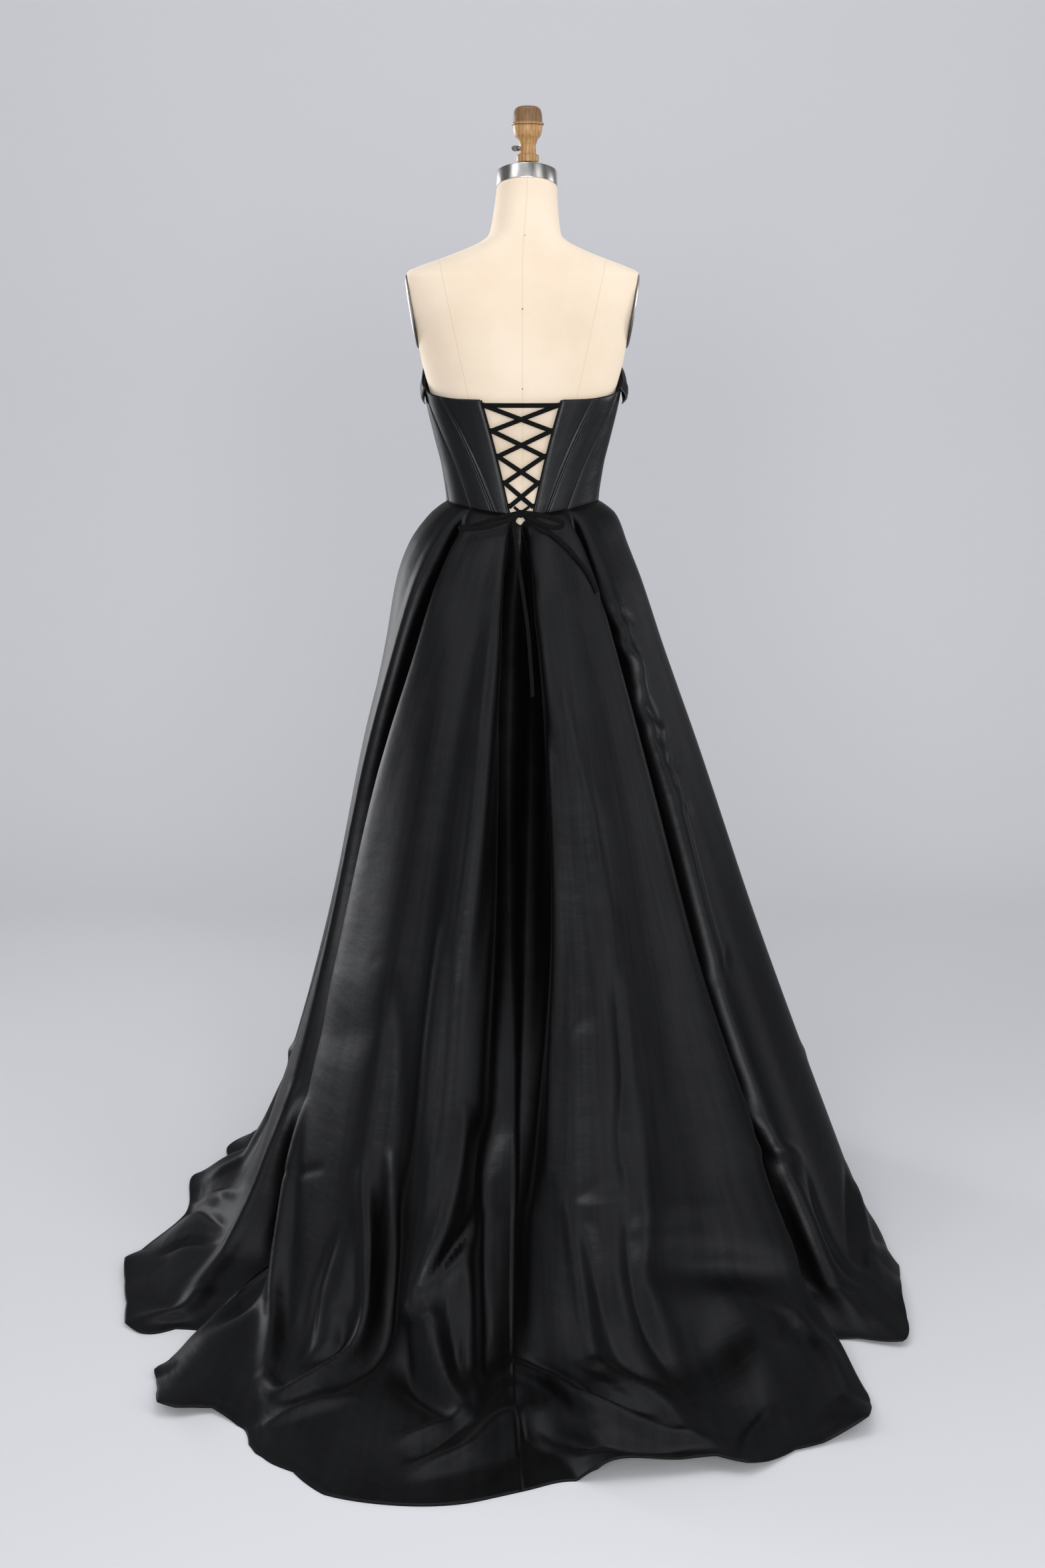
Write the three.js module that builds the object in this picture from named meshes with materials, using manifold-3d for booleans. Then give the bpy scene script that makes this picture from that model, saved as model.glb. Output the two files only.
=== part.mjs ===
// Strapless prom gown in black satin on a dressmaker's form: a panelled bodice with a folded
// neckline and a laced back, and a box-pleated skirt whose hem runs out into a short train.
// Millimetres, +Z up. The front faces -Y and the wearer's left is +X. The origin is on the
// floor at the centre of the form's base.
import * as THREE from "three";
import { mergeVertices } from "three/addons/utils/BufferGeometryUtils.js";
import Module from "manifold-3d";

const wasm = await Module();
wasm.setup();

const CLOTH = 2; // satin with its interlining
const SEAM_GAP = 0.3; // between pieces that touch
const WAIST_SIDE = 1120; // height of the waist seam at the side
const WAIST_DIP_BACK = 15;
const WAIST_DIP_FRONT = 8;
const NECK_TILT = 16; // degrees, the neck's top leans forward

const rad = THREE.MathUtils.degToRad;
const lerp = THREE.MathUtils.lerp;
const clamp = THREE.MathUtils.clamp;

// Materials
const finish = (color, roughness, metalness = 0) =>
  new THREE.MeshStandardMaterial({ color, roughness, metalness });
const SATIN = finish(0x1b1b1d, 0.42);
const LACE_SATIN = finish(0x101113, 0.5);
const LINEN = finish(0xe8d9be, 0.9);
const STEEL = finish(0xa9abad, 0.3, 1);
const WOOD = finish(0xa87a45, 0.5);
const IRON = finish(0x2a2b2d, 0.55, 0.6);

const gown = new THREE.Group();

function addPiece(name, geometry, material) {
  const mesh = new THREE.Mesh(geometry, material);
  mesh.name = name;
  gown.add(mesh);
  return mesh;
}

// A closed body from one ordinary geometry, for joining and cutting.
function toSolid(geometry) {
  const bare = geometry.index ? geometry.toNonIndexed() : geometry.clone();
  bare.deleteAttribute("normal");
  bare.deleteAttribute("uv");
  const merged = mergeVertices(bare, 1e-3);
  return new wasm.Manifold(
    new wasm.Mesh({
      numProp: 3,
      vertProperties: new Float32Array(merged.attributes.position.array),
      triVerts: new Uint32Array(merged.index.array),
    }),
  );
}

function toGeometry(solid) {
  const mesh = solid.getMesh();
  const geometry = new THREE.BufferGeometry();
  geometry.setAttribute("position", new THREE.BufferAttribute(mesh.vertProperties, 3));
  geometry.setIndex(new THREE.BufferAttribute(mesh.triVerts, 1));
  return geometry;
}

// Smooth monotone curve through the rows of a table, as a function of one column.
function track(rows, atColumn, column) {
  const sorted = [...rows].sort((p, q) => p[atColumn] - q[atColumn]);
  const x = sorted.map((row) => row[atColumn]);
  const y = sorted.map((row) => row[column]);
  const slope = x.slice(1).map((x1, k) => (y[k + 1] - y[k]) / (x1 - x[k]));
  const tangent = x.map((_, k) => {
    if (k === 0) return slope[0];
    if (k === x.length - 1) return slope[k - 1];
    if (slope[k - 1] * slope[k] <= 0) return 0;
    return (2 * slope[k - 1] * slope[k]) / (slope[k - 1] + slope[k]);
  });
  return (at) => {
    if (at <= x[0]) return y[0];
    if (at >= x[x.length - 1]) return y[x.length - 1];
    const k = x.findIndex((x1) => x1 > at) - 1;
    const span = x[k + 1] - x[k];
    const t = (at - x[k]) / span;
    const rise = t * t * (3 - 2 * t);
    return (
      lerp(y[k], y[k + 1], rise) +
      span * t * (1 - t) * (tangent[k] * (1 - t) - tangent[k + 1] * t)
    );
  };
}

// A wall between an inner and an outer grid of points, grid[across][down]. Across runs
// anticlockwise seen from above, and down runs from the top edge to the bottom edge.
function wallGeometry(inner, outer) {
  const across = inner.length;
  const down = inner[0].length;
  const positions = [];
  const triangles = [];
  for (const grid of [outer, inner])
    for (const column of grid) for (const p of column) positions.push(p.x, p.y, p.z);
  const o = (i, j) => i * down + j;
  const n = (i, j) => across * down + i * down + j;
  const quad = (a, b, c, d) => triangles.push(a, b, c, a, c, d);
  for (let i = 0; i < across - 1; i++)
    for (let j = 0; j < down - 1; j++) {
      quad(o(i, j), o(i, j + 1), o(i + 1, j + 1), o(i + 1, j));
      quad(n(i, j), n(i + 1, j), n(i + 1, j + 1), n(i, j + 1));
    }
  const last = down - 1;
  const end = across - 1;
  for (let i = 0; i < end; i++) {
    quad(o(i, 0), o(i + 1, 0), n(i + 1, 0), n(i, 0));
    quad(o(i, last), n(i, last), n(i + 1, last), o(i + 1, last));
  }
  for (let j = 0; j < last; j++) {
    quad(o(0, j), n(0, j), n(0, j + 1), o(0, j + 1));
    quad(o(end, j), o(end, j + 1), n(end, j + 1), n(end, j));
  }
  const geometry = new THREE.BufferGeometry();
  geometry.setAttribute("position", new THREE.Float32BufferAttribute(positions, 3));
  geometry.setIndex(triangles);
  return geometry;
}

// A closed body through rings of points from bottom to top, each ring anticlockwise.
function loftGeometry(rings) {
  const sides = rings[0].length;
  const positions = rings.flat().flatMap((p) => [p.x, p.y, p.z]);
  const triangles = [];
  for (let k = 0; k < rings.length - 1; k++)
    for (let i = 0; i < sides; i++) {
      const j = (i + 1) % sides;
      const a = k * sides;
      const b = a + sides;
      triangles.push(a + i, a + j, b + j, a + i, b + j, b + i);
    }
  for (const [ring, up] of [
    [0, false],
    [rings.length - 1, true],
  ]) {
    const centre = rings[ring]
      .reduce((sum, p) => sum.add(p), new THREE.Vector3())
      .divideScalar(sides);
    const c = positions.push(centre.x, centre.y, centre.z) / 3 - 1;
    for (let i = 0; i < sides; i++) {
      const a = ring * sides + i;
      const b = ring * sides + ((i + 1) % sides);
      triangles.push(...(up ? [a, b, c] : [b, a, c]));
    }
  }
  const geometry = new THREE.BufferGeometry();
  geometry.setAttribute("position", new THREE.Float32BufferAttribute(positions, 3));
  geometry.setIndex(triangles);
  return geometry;
}

// A turned piece from a profile of [radius, height] pairs, on the Z axis.
function turned(profile, sides) {
  const points = profile.map(([radius, height]) => new THREE.Vector2(radius, height));
  return new THREE.LatheGeometry(points, sides).rotateX(Math.PI / 2);
}

// An egg-shaped outline round the origin: its distance in a direction, from four half-widths.
function eggRadius(angle, left, right, back, front) {
  const c = Math.cos(angle);
  const s = Math.sin(angle);
  return 1 / Math.hypot(c / (c > 0 ? left : right), s / (s > 0 ? back : front));
}

// The waist seam dips at the centre back and a little at the centre front.
function seamHeight(angle) {
  const s = Math.sin(angle);
  const dip = s > 0 ? WAIST_DIP_BACK : WAIST_DIP_FRONT;
  return WAIST_SIDE - dip * s * s;
}

// Skirt
// Each row is a level section of the smooth bell under the folds. Levels below 0 are the
// train, which lies on the floor.
const BELL = [
  { level: 1120, centre: 0, depth: 96.5, left: 119.5, right: 121.5 },
  { level: 1098, centre: 1, depth: 116, left: 147, right: 148 },
  { level: 1055, centre: 5, depth: 146, left: 178, right: 166 },
  { level: 1000, centre: 15, depth: 178, left: 197, right: 188 },
  { level: 900, centre: 30, depth: 230, left: 215, right: 222 },
  { level: 740, centre: 50, depth: 302, left: 250, right: 280 },
  { level: 500, centre: 85, depth: 402, left: 296, right: 362 },
  { level: 340, centre: 115, depth: 472, left: 337, right: 420 },
  { level: 200, centre: 145, depth: 537, left: 382, right: 472 },
  { level: 90, centre: 180, depth: 595, left: 420, right: 512 },
  { level: 0, centre: 222, depth: 655, left: 468, right: 542 },
  { level: -100, centre: 285, depth: 725, left: 530, right: 556 },
  { level: -200, centre: 335, depth: 785, left: 568, right: 560 },
];
const TOP_LEVEL = 1120;
const HEM_LEVEL = -200;
const FLOOR_ROUNDING = 44; // height of the bend where the cloth turns onto the floor
const SEAM_FADE = 130; // the seam's dip dies out in this height of skirt
const PLACKET_DEPTH = 15; // small open notch under the lacing
const PLACKET_HALF_WIDTH = 11;

// Each row is a ridge or a valley that runs from the waist to the hem, in order round the
// skirt from the wearer's left. Directions are degrees anticlockwise from +X, at the waist,
// hip, knee, low and hem stations. Out is how far it stands proud of the bell, and rise is
// how far the hem lifts off the floor there.
const STATIONS = { waist: 1120, yoke: 1085, hip: 1000, knee: 500, low: 120, hem: -200 };
const FOLD_COLUMNS =
  "name waist hip knee low hem outYoke outHip outKnee outLow outHem rise".split(" ");
const FOLDS = [
  ["left side", -3, 0, -4, -8, -12, 0, 2, 0, 0, -22, 0],
  ["left crest", 19, 17, 9, 8, 10, 2, 4, 4, 8, 30, 8],
  ["left flap", 28, 26.5, 14, 18, 25, 2, 5, 5, 10, 28, 4],
  ["left panel edge", 37, 34.5, 18.5, 26, 31.5, 3, 7, 6, 0, 6, 0],
  ["left gap", 41.5, 38.5, 23, 33, 34.5, -14, -44, -56, -56, -66, 0],
  ["left layer", 45, 41.5, 27, 37, 41, -3, -12, -18, -14, 18, 0],
  ["tube left edge", 49, 45.5, 32, 42, 49.5, 1, 2, 4, 6, 44, 14],
  ["tube middle", 56, 54, 46, 53, 58, 0, 3, 4, 8, -14, 0],
  ["tube right edge", 63, 62, 60, 63, 65, 0, 1, 6, 10, 26, 0],
  ["left trough", 71, 70, 68, 69, 72, 0, 0, -10, -26, 32, 0],
  ["left roll", 79.5, 79.5, 75.5, 76, 79, 2, 6, 12, 14, 14, 0],
  ["centre fall", 84.5, 84, 82, 83, 84.5, -10, -28, -30, -30, -10, 0],
  ["centre valley", 88.5, 88.5, 89, 88.5, 90, -16, -50, -76, -58, -48, 0],
  ["centre seam edge", 93, 94, 92.5, 91, 94, -2, -8, -24, -26, -70, 10],
  ["right crease", 101, 101, 100, 97, 98.5, 1, 2, 2, 4, -63, 58],
  ["right ridge", 110, 109, 107.5, 105, 106.5, 1, 4, 12, 8, -30, 30],
  ["right panel", 119, 119, 119, 118, 116, 0, 2, 0, -6, 22, 4],
  ["right panel edge", 127.5, 127.5, 129, 133.5, 130, 2, 6, 14, 16, 43, 10],
  ["right gap", 131.5, 131.5, 132, 137.5, 141, -14, -46, -60, -62, -84, 0],
  ["right side roll", 135.5, 137, 138, 141.5, 147.5, 2, 4, 4, 4, 24, 8],
  ["right side panel", 152, 152, 152, 153, 158, 1, 2, -8, -8, 14, 20],
  ["right side", 170, 169, 169, 170, 171, 0, 2, 2, 4, 6, 0],
  ["right side dip", 187, 187, 187, 188, 189, 0, -4, -14, -20, -10, 0],
  ["right front roll", 212, 208, 206, 205, 205, 2, 6, 12, 14, 12, 6],
  ["right front gap", 216, 213, 212, 211, 211, -14, -42, -54, -50, -30, 0],
  ["right front edge", 220, 218, 218, 217, 217, 2, 6, 14, 16, 12, 6],
  ["right front panel", 237, 236, 236, 236, 236, 0, 0, -10, -14, -8, 0],
  ["front ridge right", 256, 256, 255, 254, 254, 1, 3, 10, 16, 12, 5],
  ["front centre", 271, 271, 271, 271, 271, 0, -3, -10, -14, -6, 0],
  ["front ridge left", 286, 286, 287, 288, 288, 1, 3, 10, 16, 12, 5],
  ["left front panel", 305, 304, 304, 305, 305, 0, 0, -10, -12, -8, 0],
  ["left front edge", 323, 323, 322, 323, 323, 2, 6, 14, 14, 12, 6],
  ["left front gap", 327.5, 327.5, 328, 329, 329, -14, -42, -54, -46, -30, 0],
  ["left front roll", 332, 332, 334, 335, 335, 2, 6, 12, 12, 10, 6],
].map((row) => Object.fromEntries(FOLD_COLUMNS.map((name, k) => [name, row[k]])));

const bellTracks = Object.fromEntries(
  ["centre", "depth", "left", "right"].map((column) => [column, track(BELL, "level", column)]),
);
const foldTracks = FOLDS.map((fold) => {
  const along = (stations, columns) =>
    track(
      stations.map((station, k) => ({ level: STATIONS[station], value: fold[columns[k]] })),
      "level",
      "value",
    );
  return {
    direction: along(
      ["waist", "hip", "knee", "low", "hem"],
      ["waist", "hip", "knee", "low", "hem"],
    ),
    out: track(
      [
        { level: STATIONS.waist, value: 0 },
        ...["Yoke", "Hip", "Knee", "Low", "Hem"].map((part) => ({
          level: STATIONS[part.toLowerCase()],
          value: fold["out" + part],
        })),
      ],
      "level",
      "value",
    ),
    rise: fold.rise,
  };
});

// Height above the floor of a level, with a soft bend onto the floor and none left at the hem.
const bend = (level) => (level + Math.hypot(level, FLOOR_ROUNDING)) / 2;
function restHeight(level) {
  const spare = lerp(bend(HEM_LEVEL) * 1.2, bend(TOP_LEVEL) - TOP_LEVEL, level > 0 ? 1 : 0);
  const share = level > 0 ? clamp(level / TOP_LEVEL, 0, 1) : clamp(level / HEM_LEVEL, 0, 1);
  return Math.max(0, bend(level) - spare * share);
}

// The lift of a hem wave grows from the low station to the hem.
function riseShare(level) {
  const t = clamp((STATIONS.low - level) / (STATIONS.low - HEM_LEVEL), 0, 1);
  return t * t * (3 - 2 * t);
}

// Where a fold line crosses a level, on the skirt's inside face.
function foldPoint(fold, level) {
  const angle = rad(fold.direction(level));
  const depth = bellTracks.depth(level);
  const reach =
    eggRadius(angle, bellTracks.left(level), bellTracks.right(level), depth, depth) +
    fold.out(level);
  const x = reach * Math.cos(angle);
  const y = bellTracks.centre(level) + reach * Math.sin(angle);
  const fade = clamp((level - TOP_LEVEL) / SEAM_FADE + 1, 0, 1);
  const placket =
    y > 0 ? PLACKET_DEPTH * Math.exp(-((x / PLACKET_HALF_WIDTH) ** 2)) * fade ** 2 : 0;
  const dip = (WAIST_SIDE - seamHeight(Math.atan2(y, x))) * fade + placket;
  const z = restHeight(level) - dip + fold.rise * riseShare(level);
  return new THREE.Vector3(x, y, z);
}

// Centripetal Catmull-Rom point between b and c.
function between(a, b, c, d, t) {
  return new THREE.CatmullRomCurve3([a, b, c, d], false, "centripetal").getPoint((1 + t) / 3);
}

// Samples between one fold line and the next, more where the folds are far apart.
function samplesAfter(k) {
  const next = FOLDS[(k + 1) % FOLDS.length];
  const gap = (next.knee - FOLDS[k].knee + 360) % 360;
  return gap > 13 ? 4 : gap > 7 ? 3 : 2;
}

const SKIRT_LEVELS = [
  1120, 1104, 1075, 1030, 960, 860, 740, 610, 480, 360, 260, 175, 110, 60, 20, -20, -75, -135, -200,
];

// The whole skirt as rings of points, [around][down], and where each fold line lies in it.
function skirtInside() {
  const count = FOLDS.length;
  const rings = SKIRT_LEVELS.map((level) => {
    const points = foldTracks.map((fold) => foldPoint(fold, level));
    const ring = [];
    for (let k = 0; k < count; k++) {
      const [a, b, c, d] = [-1, 0, 1, 2].map((step) => points[(k + step + count) % count]);
      const samples = samplesAfter(k);
      for (let s = 0; s < samples; s++)
        ring.push(s ? between(a, b, c, d, s / samples) : b.clone());
    }
    for (const p of ring) p.z = Math.max(0, p.z);
    return ring;
  });
  const around = rings[0].length;
  const columns = [];
  for (let i = 0; i < around; i++) columns.push(rings.map((ring) => ring[i]));
  const starts = [];
  let column = 0;
  for (let k = 0; k < count; k++) {
    starts.push(column);
    column += samplesAfter(k);
  }
  return { columns, starts };
}

const skirt = skirtInside();
const around = skirt.columns.length;
const columnAt = (i) => skirt.columns[((i % around) + around) % around];

// Outward normal of the skirt's inside face at a grid point. It is level along the waist.
function skirtNormal(i, j) {
  const last = SKIRT_LEVELS.length - 1;
  const across = columnAt(i + 1)[j].clone().sub(columnAt(i - 1)[j]);
  const column = columnAt(i);
  const down = column[Math.min(j + 1, last)].clone().sub(column[Math.max(j - 1, 0)]);
  const normal = down.cross(across);
  if (j === 0) normal.z = 0;
  return normal.normalize();
}

// One cut piece of the skirt, from one fold line to another, short of each by half a seam gap.
function skirtPiece(fromName, toName) {
  const indexOf = (name) => skirt.starts[FOLDS.findIndex((fold) => fold.name === name)];
  const from = indexOf(fromName);
  let to = indexOf(toName);
  if (to <= from) to += around;
  const inner = [];
  const outer = [];
  for (let i = from; i <= to; i++) {
    const side = i === from ? 1 : i === to ? -1 : 0;
    const innerColumn = [];
    const outerColumn = [];
    SKIRT_LEVELS.forEach((_, j) => {
      const point = columnAt(i)[j].clone();
      const normal = skirtNormal(i, j);
      const toward = columnAt(i + side)[j].clone().sub(columnAt(i)[j]);
      if (side) {
        toward.addScaledVector(normal, -toward.dot(normal)).setLength(SEAM_GAP / 2);
        point.add(toward);
      }
      if (j === 0) point.z -= SEAM_GAP / 2;
      const out = point.clone().addScaledVector(normal, CLOTH);
      out.z = Math.max(out.z, 0);
      innerColumn.push(point);
      outerColumn.push(out);
    });
    inner.push(innerColumn);
    outer.push(outerColumn);
  }
  return wallGeometry(inner, outer);
}

const SKIRT_PIECES = [
  ["skirt_side_left", "left front gap", "left gap"],
  ["skirt_back_left", "left gap", "centre valley"],
  ["skirt_back_right", "centre valley", "right gap"],
  ["skirt_side_right", "right gap", "right front gap"],
  ["skirt_front", "right front gap", "left front gap"],
];
for (const [name, from, to] of SKIRT_PIECES) addPiece(name, skirtPiece(from, to), SATIN);

// Bodice
// Each row is a level section of the bodice's inside face.
const BODICE = [
  { height: 1095, side: 119, back: 95.5, front: 98 },
  { height: 1120, side: 119.5, back: 96, front: 99 },
  { height: 1170, side: 126, back: 97, front: 108 },
  { height: 1225, side: 138, back: 99.5, front: 122 },
  { height: 1280, side: 150, back: 103, front: 134 },
  { height: 1345, side: 160, back: 107, front: 134 },
];
const bodiceTracks = Object.fromEntries(
  ["side", "back", "front"].map((column) => [column, track(BODICE, "height", column)]),
);
// The structured cups stand out of the front.
const CUP = { direction: 33, height: 1262, out: 15, spread: 19, tall: 38 };

// The neckline's height by direction from the centre back, the same on both sides.
const NECKLINE = [
  { fromBack: 0, height: 1282 },
  { fromBack: 50, height: 1283 },
  { fromBack: 72, height: 1288 },
  { fromBack: 84, height: 1296 },
  { fromBack: 96, height: 1314 },
  { fromBack: 108, height: 1337 },
  { fromBack: 124, height: 1331 },
  { fromBack: 150, height: 1303 },
  { fromBack: 168, height: 1277 },
  { fromBack: 180, height: 1264 },
];
const necklineTrack = track(NECKLINE, "fromBack", "height");

// Directions here are degrees from the centre back; side is 1 on the left and -1 on the right.
function bodicePoint(fromBack, side, height, out) {
  const angle = Math.PI / 2 - side * rad(fromBack);
  const wide = bodiceTracks.side(height);
  const base = eggRadius(
    angle,
    wide,
    wide,
    bodiceTracks.back(height),
    bodiceTracks.front(height),
  );
  const cup =
    CUP.out *
    Math.exp(
      -(((180 - fromBack - CUP.direction) / CUP.spread) ** 2) -
        ((height - CUP.height) / CUP.tall) ** 2,
    );
  const reach = base + cup + out;
  return new THREE.Vector3(reach * Math.cos(angle), reach * Math.sin(angle), height);
}

// Seams between the bodice's pieces, by direction from the centre back at top and bottom.
const SEAM_COLUMNS = "name topLeft bottomLeft topRight bottomRight".split(" ");
const BODICE_SEAMS = [
  ["opening", 35.3, 12.8, 33.3, 10.4],
  ["back seam", 65, 25.5, 58, 21],
  ["side back seam", 86, 47.6, 79.7, 41.2],
  ["side seam", 108, 78, 108, 78],
  ["front seam", 163, 152, 163, 152],
].map((row) => Object.fromEntries(SEAM_COLUMNS.map((name, k) => [name, row[k]])));

function bodiceSeam(name, side) {
  const row = BODICE_SEAMS.find((seam) => seam.name === name);
  const word = side > 0 ? "Left" : "Right";
  return { top: row["top" + word], bottom: row["bottom" + word] };
}

function bodiceSpot(from, to, share, down) {
  const top = lerp(from.top, to.top, share);
  const bottom = lerp(from.bottom, to.bottom, share);
  return {
    fromBack: lerp(top, bottom, down),
    topHeight: necklineTrack(top),
    bottomHeight: seamHeight(Math.PI / 2 - rad(bottom)) + SEAM_GAP / 2,
  };
}

// A panel of the bodice between two seams on one side of the body.
function bodicePanel(fromName, toName, side, columns, rows) {
  const [from, to] = [bodiceSeam(fromName, side), bodiceSeam(toName, side)];
  const inner = [];
  const outer = [];
  for (let i = 0; i <= columns; i++) {
    const share = side > 0 ? 1 - i / columns : i / columns;
    const innerColumn = [];
    const outerColumn = [];
    for (let j = 0; j <= rows; j++) {
      const spot = bodiceSpot(from, to, share, j / rows);
      const height = lerp(spot.topHeight, spot.bottomHeight, j / rows);
      const inset = rad(1) * bodiceTracks.side(height);
      const edge = (share === 0 ? 1 : share === 1 ? -1 : 0) * (SEAM_GAP / 2 / inset);
      innerColumn.push(bodicePoint(spot.fromBack + edge, side, height, 0));
      outerColumn.push(bodicePoint(spot.fromBack + edge, side, height, CLOTH));
    }
    inner.push(innerColumn);
    outer.push(outerColumn);
  }
  return wallGeometry(inner, outer);
}

const SIDES = [
  ["left", 1],
  ["right", -1],
];
const BODICE_PIECES = [
  ["bodice_back", "opening", "back seam", 3, 7],
  ["bodice_side_back", "back seam", "side back seam", 3, 7],
  ["bodice_side", "side back seam", "side seam", 4, 7],
  ["bodice_cup", "side seam", "front seam", 8, 9],
];
for (const [word, side] of SIDES)
  for (const [name, from, to, columns, rows] of BODICE_PIECES)
    addPiece(name + "_" + word, bodicePanel(from, to, side, columns, rows), SATIN);

// The centre front is one piece across the middle.
function centreFrontPanel(columns, rows) {
  const { top, bottom } = bodiceSeam("front seam", 1);
  const inner = [];
  const outer = [];
  for (let i = 0; i <= columns; i++) {
    const across = 1 - (2 * i) / columns;
    const side = across < 0 ? 1 : -1;
    const innerColumn = [];
    const outerColumn = [];
    for (let j = 0; j <= rows; j++) {
      const edge = SEAM_GAP / 2 / (rad(1) * 120);
      const topDirection = 180 - (180 - top - edge) * Math.abs(across);
      const bottomDirection = 180 - (180 - bottom - edge) * Math.abs(across);
      const fromBack = lerp(topDirection, bottomDirection, j / rows);
      const seam = seamHeight(Math.PI / 2 - rad(bottomDirection)) + SEAM_GAP / 2;
      const height = lerp(necklineTrack(topDirection), seam, j / rows);
      innerColumn.push(bodicePoint(fromBack, side, height, 0));
      outerColumn.push(bodicePoint(fromBack, side, height, CLOTH));
    }
    inner.push(innerColumn);
    outer.push(outerColumn);
  }
  return wallGeometry(inner, outer);
}
addPiece("bodice_centre_front", centreFrontPanel(6, 8), SATIN);

// The folded band along each cup's top edge hangs outside it and flares at its lower edge.
const FOLDED_BAND = { from: 84, to: 172, tall: 42, sideShare: 0.62, lift: 3 };
const BAND_FLARE = { left: 8, right: 13 };

function foldedBand(side, flare, columns, rows) {
  const inner = [];
  const outer = [];
  for (let i = 0; i <= columns; i++) {
    const share = side > 0 ? 1 - i / columns : i / columns;
    const fromBack = lerp(FOLDED_BAND.from, FOLDED_BAND.to, share);
    const top = necklineTrack(fromBack) + FOLDED_BAND.lift;
    const taper = lerp(FOLDED_BAND.sideShare, 1, Math.sin(Math.PI * clamp(share * 1.1, 0, 1)));
    const innerColumn = [];
    const outerColumn = [];
    for (let j = 0; j <= rows; j++) {
      const down = j / rows;
      const height = top - FOLDED_BAND.tall * taper * down;
      const out = CLOTH + SEAM_GAP + 0.4 + flare * down ** 1.5;
      innerColumn.push(bodicePoint(fromBack, side, height, out));
      outerColumn.push(bodicePoint(fromBack, side, height, out + CLOTH));
    }
    inner.push(innerColumn);
    outer.push(outerColumn);
  }
  return wallGeometry(inner, outer);
}
addPiece("folded_band_left", foldedBand(1, BAND_FLARE.left, 12, 3), SATIN);
addPiece("folded_band_right", foldedBand(-1, BAND_FLARE.right, 12, 3), SATIN);

// Lacing
// Rows of rouleau loops down each edge of the back opening, on a corded edge.
const CORDED_EDGE_RADIUS = 1.3;
const LOOP_WIRE_RADIUS = 0.9;
const LOOP_REACH = 5;
const LOOP_HEIGHTS = [1274, 1235, 1196, 1155, 1119];

// The opening's edge at a height, standing off the cloth's edge by the corded edge.
function openingEdge(side, height) {
  const { top, bottom } = bodiceSeam("opening", side);
  const topHeight = necklineTrack(top);
  const bottomHeight = seamHeight(Math.PI / 2 - rad(bottom));
  const down = clamp((topHeight - height) / (topHeight - bottomHeight), 0, 1);
  const standOff = (CORDED_EDGE_RADIUS + SEAM_GAP * 1.6) / (rad(1) * 100);
  return bodicePoint(lerp(top, bottom, down) - standOff, side, height, CLOTH / 2);
}

function tube(points, radius, sides, steps) {
  const section = new THREE.Shape();
  section.absarc(0, 0, radius, 0, 2 * Math.PI);
  return new THREE.ExtrudeGeometry(section, {
    steps,
    curveSegments: sides,
    extrudePath: new THREE.CatmullRomCurve3(points, false, "centripetal"),
  });
}

function loopRow(side) {
  const opening = bodiceSeam("opening", side);
  const top = necklineTrack(opening.top) - 1;
  const bottom = seamHeight(Math.PI / 2 - rad(opening.bottom)) + 2;
  const edge = [0, 0.25, 0.5, 0.75, 1].map((t) => openingEdge(side, lerp(top, bottom, t)));
  let row = toSolid(tube(edge, CORDED_EDGE_RADIUS, 3, 8));
  for (const height of LOOP_HEIGHTS) {
    const root = openingEdge(side, height);
    const points = [1, 0.55, 0, -0.55, -1].map((t) => {
      const reach = LOOP_REACH * Math.sqrt(1 - t * t);
      return new THREE.Vector3(root.x - side * reach, root.y - 0.3, root.z + 3.4 * t);
    });
    row = row.add(toSolid(tube(points, LOOP_WIRE_RADIUS, 3, 6)));
  }
  return toGeometry(row);
}
for (const [word, side] of SIDES) addPiece("loops_" + word, loopRow(side), LACE_SATIN);

// The lace is a flat rouleau. One half runs over the other where they cross.
const LACE = { width: 6.4, thick: 1.4, over: 5.1, under: 2.8, turn: 1.5 };

// A flat strip with rounded edges along a route, lying with its face towards a direction.
function ribbon(route, facing, steps, width = LACE.width) {
  const path = new THREE.CatmullRomCurve3(route, false, "centripetal");
  const rings = [];
  for (let k = 0; k <= steps; k++) {
    const centre = path.getPointAt(k / steps);
    const along = path.getTangentAt(k / steps);
    const out = facing(centre).addScaledVector(along, -facing(centre).dot(along)).normalize();
    const across = out.clone().cross(along);
    const corners = [
      [1, 0],
      [0.8, 1],
      [-0.8, 1],
      [-1, 0],
      [-0.8, -1],
      [0.8, -1],
    ];
    rings.push(
      corners.map(([u, v]) =>
        centre
          .clone()
          .addScaledVector(across, (u * width) / 2)
          .addScaledVector(out, (v * LACE.thick) / 2),
      ),
    );
  }
  return loftGeometry(rings);
}
const facingBack = () => new THREE.Vector3(0, 1, 0);

// The lace turns inside each loop, and between two turns it follows the body's round.
function laceTurn(side, row) {
  const root = openingEdge(side, LOOP_HEIGHTS[row]);
  const x = root.x - side * (LOOP_REACH - 1);
  return { direction: 90 - THREE.MathUtils.radToDeg(Math.atan2(root.y, x)), height: root.z };
}

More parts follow.
